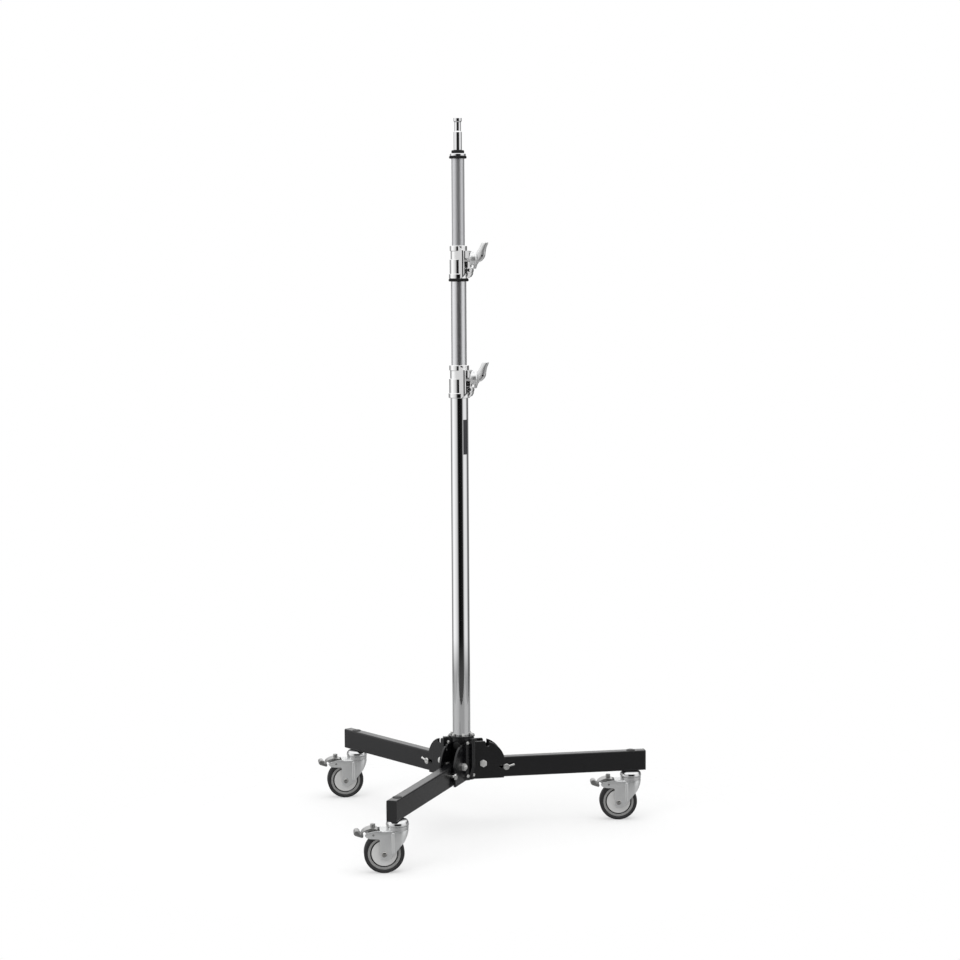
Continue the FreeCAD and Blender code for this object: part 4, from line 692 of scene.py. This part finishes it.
# Tread rubber: black, a little dusty on its running face.
tread_rubber = finish("moulded_tread_rubber", "1b1b1c", "2a2a2b", (0.5, 0.68), 1.2, 0.03, edge=0.6)
for leg in LEG_TURNS:
    dress(tread_rubber, "tread_" + leg)
    dress(wheel_plastic, "wheel_hub_" + leg)
    at = np.array([TRAIL, 0.0, WHEEL_RADIUS]) * MM
    groove_shades, bands, heads = [], [], [aimed(turned(AXLE_SHANK), at, (0, 1, 0))]
    for side in (1.0, -1.0):
        groove_shades.append(aimed(turned(softened(GROOVE_SHADE_RING, 0.5)), at, (0, side, 0)))
        bands.append(aimed(turned(softened(RIM_BAND, 0.2)), at, (0, side, 0)))
        heads.append(aimed(turned(AXLE_HEAD), at, (0, side, 0)))
    groove_shades = [skin(on_caster(rings, leg), loop=True) for rings in groove_shades]
    bands = [skin(on_caster(rings, leg), loop=True) for rings in bands]
    heads = [skin(on_caster(rings, leg)) for rings in heads]
    # The groove rings are partly the grooves' dark colour and partly painted shade in them.
    make_piece("wheel_groove_shade_rings_" + leg, merge(*groove_shades), black_nylon_and_shade, "wheel_" + leg)
    make_piece("wheel_rim_bands_" + leg, merge(*bands), rim_band_grey, "wheel_" + leg)
    make_piece("axle_heads_" + leg, merge(*heads), zinc_steel, "caster_" + leg, ("axle_" + leg,))


# Brake pedals. A strip of steel carries a shoe over the tread and is bent down past the ears to a
# solid rounded toe. A button on it lets the brake go.

PEDAL_LINE = [(37.6, 82.6), (44.0, 84.1), (50.0, 84.5), (57.6, 82.2), (63.0, 79.2), (66.0, 76.0),
              (66.6, 72.6), (67.6, 69.6)]
PEDAL_WIDTHS = [26.0, 26.5, 27.0, 27.0, 26.0, 24.0, 22.4, 21.6]
TOE = [(63.2, 72.4), (62.9, 69.0), (64.8, 66.8), (69.4, 68.3), (75.2, 70.1), (79.2, 71.7),
       (81.2, 75.0), (81.0, 78.3), (78.6, 81.0), (75.4, 81.8), (72.2, 80.8), (70.2, 78.4),
       (69.2, 75.4)]
SHOE = [(36.3, 82.8), (36.3, 78.2), (42.0, 74.7), (47.0, 70.7), (51.5, 66.7), (53.9, 68.7),
        (54.3, 83.0), (46.0, 84.0)]
PEDAL_THICK, SHOE_HALF, TOE_HALF = 1.9, 10.5, 11.0
PEDAL_PIN, PEDAL_PIN_AT = [(2.0, -17.2), (2.0, 17.2)], (45.0, 0.0, 73.5)
RELEASE_BUTTON, RELEASE_X = [(4.5, 82.5), (4.5, 90.9), (3.9, 91.7), (0.4, 91.75)], 45.5
STRIP_TIP_START, STRIP_TIP_RUN = 0.985, 0.0151


def strip(line, thick, widths, count=90):
    """Rings of a bent strip: at each place of a smooth line its section is an oblong, half the
    thickness off the line's normal and half the width across, with rounded corners. Its two
    ends thin out by the root of 1 - s^2."""
    line = through(line, count)
    half = through(widths, count)[:, 0] / 2
    along = np.gradient(line, axis=0)
    along /= np.linalg.norm(along, axis=1)[:, None]
    normal = np.stack([-along[:, 1], along[:, 0]], -1)
    corner = softened([(-1, -1), (1, -1), (1, 1), (-1, 1)], 0.3, steps=5)
    end = np.abs(np.linspace(-1, 1, count))
    tip = np.clip((end - STRIP_TIP_START) / STRIP_TIP_RUN, 0, 1)
    off = corner[None, :, 1] * (thick / 2) * np.sqrt(1 - tip ** 2)[:, None]
    across = corner[None, :, 0] * half[:, None]
    x = line[:, :1] + normal[:, :1] * off
    z = line[:, 1:] + normal[:, 1:] * off
    return np.stack([x, across, z], -1) * MM


# Grey zinc plate over bent steel, duller than the other plating. Its base colour is darker than
# the
# other zinc: partly the plate's own grey, partly a painted reflection of the dark room round the
# camera.
grey_zinc_darkened = finish("grey_zinc_and_painted_dark_reflection", "9c9c9b", "b2b2b1", (0.26, 0.36), 2.0, 0.006,
                     metallic=1.0, edge=0.4)
for leg in LEG_TURNS:
    button = turned(RELEASE_BUTTON, cut=0.4) + np.array([RELEASE_X, 0, 0]) * MM
    pin = aimed(turned(PEDAL_PIN), np.array(PEDAL_PIN_AT) * MM, (0, 1, 0))
    parts = [strip(PEDAL_LINE, PEDAL_THICK, PEDAL_WIDTHS),
             slab(softened(SHOE, 1.2), -SHOE_HALF, SHOE_HALF),
             slab(softened(TOE, 2.4, steps=6), -TOE_HALF, TOE_HALF, edge=2.2, steps=8),
             button, pin]
    parts = [skin(on_caster(rings, leg)) for rings in parts]
    make_piece("brake_pedal_%s_bent" % leg, merge(*parts), grey_zinc_darkened, "brake_" + leg,
               ("brake_pedal_" + leg,), sharp=40.0)


# Studio. A pale floor that keeps the stand's shadow, soft even light from all sides, and for
# mirrors a room round the camera: dark behind it, pale walls left and right, white above and a
# grey floor far below. WALLS runs once round, from share 0 to 1, with 0.5 behind the camera.

CAMERA_TURN = -9.74
WALLS = [(0.0, "ffffff"), (0.045, "ffffff"), (0.07, "6c6c6c"), (0.12, "6c6c6c"),
         (0.16, "a8a8a8"), (0.2, "d8d8d8"), (0.24, "ffffff"), (0.3, "efefef"), (0.37, "d2d2d2"),
         (0.41, "a8a8a8"), (0.432, "3c3c3c"), (0.45, "070707"), (0.5, "0c0c0c"),
         (0.58, "1e1e1e"), (0.6, "585858"), (0.622, "c8c8c8"), (0.66, "e6e6e6"),
         (0.745, "e2e2e2"), (0.772, "c4c4c4"), (0.79, "646464"), (0.86, "6c6c6c"),
         (0.93, "7c7c7c"), (0.955, "ffffff"), (1.0, "ffffff")]
WHITE = "ffffff"
CEILING_EDGE = (0.25, 0.6)
FAR_FLOOR = "505050"
FAR_FLOOR_SHARE = 0.64
FAR_FLOOR_EDGE = (-0.185, -0.17)
ROOM_STRENGTH, SOFT_STRENGTH, BACKDROP_STRENGTH = 1.15, 0.72, 1.0
FLOOR_PAPER, FLOOR_MIRRORED = "f5f5f5", "d0d0d0"
FLOOR_HALF = 1.25
FLOOR_GLOW = 0.16
FLOOR_FADE = (0.35, 0.75)
FLOOR_HAZE = 0.35
FLOOR_IN_MIRRORS = 0.5

world = bpy.data.worlds.new("studio")
bpy.context.scene.world = world
world.use_nodes = True
tree = world.node_tree
tree.nodes.clear()
looking = add_node(tree, "ShaderNodeTexCoord", {}, {})
faced = add_node(tree, "ShaderNodeMapping", {"vector_type": "VECTOR"},
                 {"Vector": looking.outputs["Generated"],
                  "Rotation": (0, 0, math.radians(-CAMERA_TURN))})
split = add_node(tree, "ShaderNodeSeparateXYZ", {}, {"Vector": faced.outputs["Vector"]})
flip = add_node(tree, "ShaderNodeMath", {"operation": "MULTIPLY"},
                {0: split.outputs["Y"], 1: -1.0})
angle = add_node(tree, "ShaderNodeMath", {"operation": "ARCTAN2"},
                 {0: split.outputs["X"], 1: flip.outputs[0]})
share = add_node(tree, "ShaderNodeMath", {"operation": "MULTIPLY_ADD"},
                 {0: angle.outputs[0], 1: 0.5 / math.pi, 2: 0.5})
walls = add_node(tree, "ShaderNodeValToRGB", {}, {"Fac": share.outputs[0]})
ramp = walls.color_ramp
for position, colour in WALLS[1:-1]:
    ramp.elements.new(position)
for element, (position, colour) in zip(ramp.elements, WALLS):
    element.position = position
    element.color = linear(colour)
low = add_node(tree, "ShaderNodeMapRange", {},
               {"Value": split.outputs["Z"], "From Min": FAR_FLOOR_EDGE[0],
                "From Max": FAR_FLOOR_EDGE[1], "To Min": FAR_FLOOR_SHARE, "To Max": 0.0})
room = add_node(tree, "ShaderNodeMix", {"data_type": "RGBA"},
                {0: low.outputs["Result"], 6: walls.outputs["Color"], 7: linear(FAR_FLOOR)})
high = add_node(tree, "ShaderNodeMapRange", {},
                {"Value": split.outputs["Z"], "From Min": CEILING_EDGE[0],
                 "From Max": CEILING_EDGE[1]})
dome = add_node(tree, "ShaderNodeMix", {"data_type": "RGBA"},
                {0: high.outputs["Result"], 6: room.outputs[2], 7: linear(WHITE)})
seen = add_node(tree, "ShaderNodeBackground", {},
                {"Color": dome.outputs[2], "Strength": ROOM_STRENGTH})
soft = add_node(tree, "ShaderNodeBackground", {},
                {"Color": linear(WHITE), "Strength": SOFT_STRENGTH})
backdrop = add_node(tree, "ShaderNodeBackground", {},
                    {"Color": linear(WHITE), "Strength": BACKDROP_STRENGTH})
sky_rays = add_node(tree, "ShaderNodeLightPath", {}, {})
mirrored = add_node(tree, "ShaderNodeMixShader", {},
                    {0: sky_rays.outputs["Is Glossy Ray"], 1: soft.outputs[0],
                     2: seen.outputs[0]})
shown = add_node(tree, "ShaderNodeMixShader", {},
                 {0: sky_rays.outputs["Is Camera Ray"], 1: mirrored.outputs[0],
                  2: backdrop.outputs[0]})
add_node(tree, "ShaderNodeOutputWorld", {}, {"Surface": shown.outputs[0]})

room_turn = Matrix.Rotation(math.radians(CAMERA_TURN), 4, "Z")
corners = [room_turn @ Vector((x * FLOOR_HALF, y * FLOOR_HALF, 0))
           for x, y in ((-1, -1), (1, -1), (1, 1), (-1, 1))]
floor_mesh = bpy.data.meshes.new("studio_floor")
floor_mesh.from_pydata([tuple(corner) for corner in corners], [], [(0, 1, 2, 3)])
floor = bpy.data.objects.new("studio_floor", floor_mesh)
bpy.context.scene.collection.objects.link(floor)
# Matt white paper. The camera sees it fade into the backdrop away from the stand, and mirrors
# see it half clear and a little grey.
paper = bpy.data.materials.new("white_backdrop_paper")
paper.use_nodes = True
tree = paper.node_tree
floor_rays = add_node(tree, "ShaderNodeLightPath", {}, {})
glow = add_node(tree, "ShaderNodeMath", {"operation": "MULTIPLY"},
                {0: floor_rays.outputs["Is Camera Ray"], 1: FLOOR_GLOW})
tint = add_node(tree, "ShaderNodeMix", {"data_type": "RGBA"},
                {0: floor_rays.outputs["Is Glossy Ray"], 6: linear(FLOOR_PAPER),
                 7: linear(FLOOR_MIRRORED)})
matt = tree.nodes["Principled BSDF"]
tree.links.new(tint.outputs[2], matt.inputs["Base Color"])
matt.inputs["Roughness"].default_value = 0.9
matt.inputs["Specular IOR Level"].default_value = 0.1
matt.inputs["Emission Color"].default_value = linear(WHITE)
tree.links.new(glow.outputs[0], matt.inputs["Emission Strength"])
on_floor = add_node(tree, "ShaderNodeTexCoord", {}, {})
away = add_node(tree, "ShaderNodeVectorMath", {"operation": "LENGTH"},
                {0: on_floor.outputs["Object"]})
fade = add_node(tree, "ShaderNodeMapRange", {"interpolation_type": "SMOOTHSTEP"},
                {"Value": away.outputs["Value"], "From Min": FLOOR_FADE[0],
                 "From Max": FLOOR_FADE[1], "To Min": FLOOR_HAZE})
thin = add_node(tree, "ShaderNodeMath", {"operation": "MULTIPLY"},
                {0: floor_rays.outputs["Is Glossy Ray"], 1: FLOOR_IN_MIRRORS})
gone = add_node(tree, "ShaderNodeMath", {"operation": "MULTIPLY_ADD"},
                {0: fade.outputs["Result"], 1: floor_rays.outputs["Is Camera Ray"],
                 2: thin.outputs[0]})
clear = add_node(tree, "ShaderNodeBsdfTransparent", {}, {})
faded = add_node(tree, "ShaderNodeMixShader", {}, {0: gone.outputs[0], 1: matt.outputs[0],
                                                   2: clear.outputs[0]})
tree.links.new(faded.outputs[0], tree.nodes["Material Output"].inputs["Surface"])
floor_mesh.materials.append(paper)


def soft_box(name, position, target, size, energy):
    """A square soft light that faces a target and shows in no mirror."""
    light = bpy.data.lights.new(name, "AREA")
    light.shape = "SQUARE"
    light.size = size
    light.energy = energy
    lamp = bpy.data.objects.new(name, light)
    lamp.location = position
    lamp.rotation_euler = (Vector(target) - Vector(position)).to_track_quat("-Z", "Y").to_euler()
    lamp.visible_glossy = False
    bpy.context.scene.collection.objects.link(lamp)


soft_box("soft_box_above", (0.2, -0.4, 3.4), (0, 0, 0.4), size=2.6, energy=26)
soft_box("soft_box_left", (-2.6, -1.9, 1.9), (0, 0, 0.6), size=1.8, energy=22)


# Camera. It stands where the photograph was taken from: about 4.4 m away, level with the upper
# clamp, and tipped down by six degrees.

DISTANCE, HEIGHT = 4421.5, 1139.8
YAW, PITCH, ROLL = 0.509, 5.775, -0.321
FOCAL_SHARE, SENSOR_WIDTH = 2.3659, 36.0

yaw, pitch, roll = (math.radians(value) for value in (YAW, PITCH, ROLL))
ahead = Vector((math.sin(yaw) * math.cos(pitch), math.cos(yaw) * math.cos(pitch),
                -math.sin(pitch)))
level_right = Vector((math.cos(yaw), -math.sin(yaw), 0.0))
level_up = level_right.cross(ahead)
right = level_right * math.cos(roll) + level_up * math.sin(roll)
up = level_up * math.cos(roll) - level_right * math.sin(roll)
facing = Matrix((right, up, -ahead)).transposed().to_4x4()
lens = bpy.data.cameras.new("camera")
lens.sensor_width = SENSOR_WIDTH
lens.lens = FOCAL_SHARE * SENSOR_WIDTH
camera = bpy.data.objects.new("camera", lens)
tripod = Matrix.Translation(Vector((0.0, -DISTANCE, HEIGHT)) * MM)
camera.matrix_world = room_turn @ tripod @ facing
bpy.context.scene.collection.objects.link(camera)
bpy.context.scene.camera = camera
bpy.context.scene.view_settings.view_transform = "Standard"
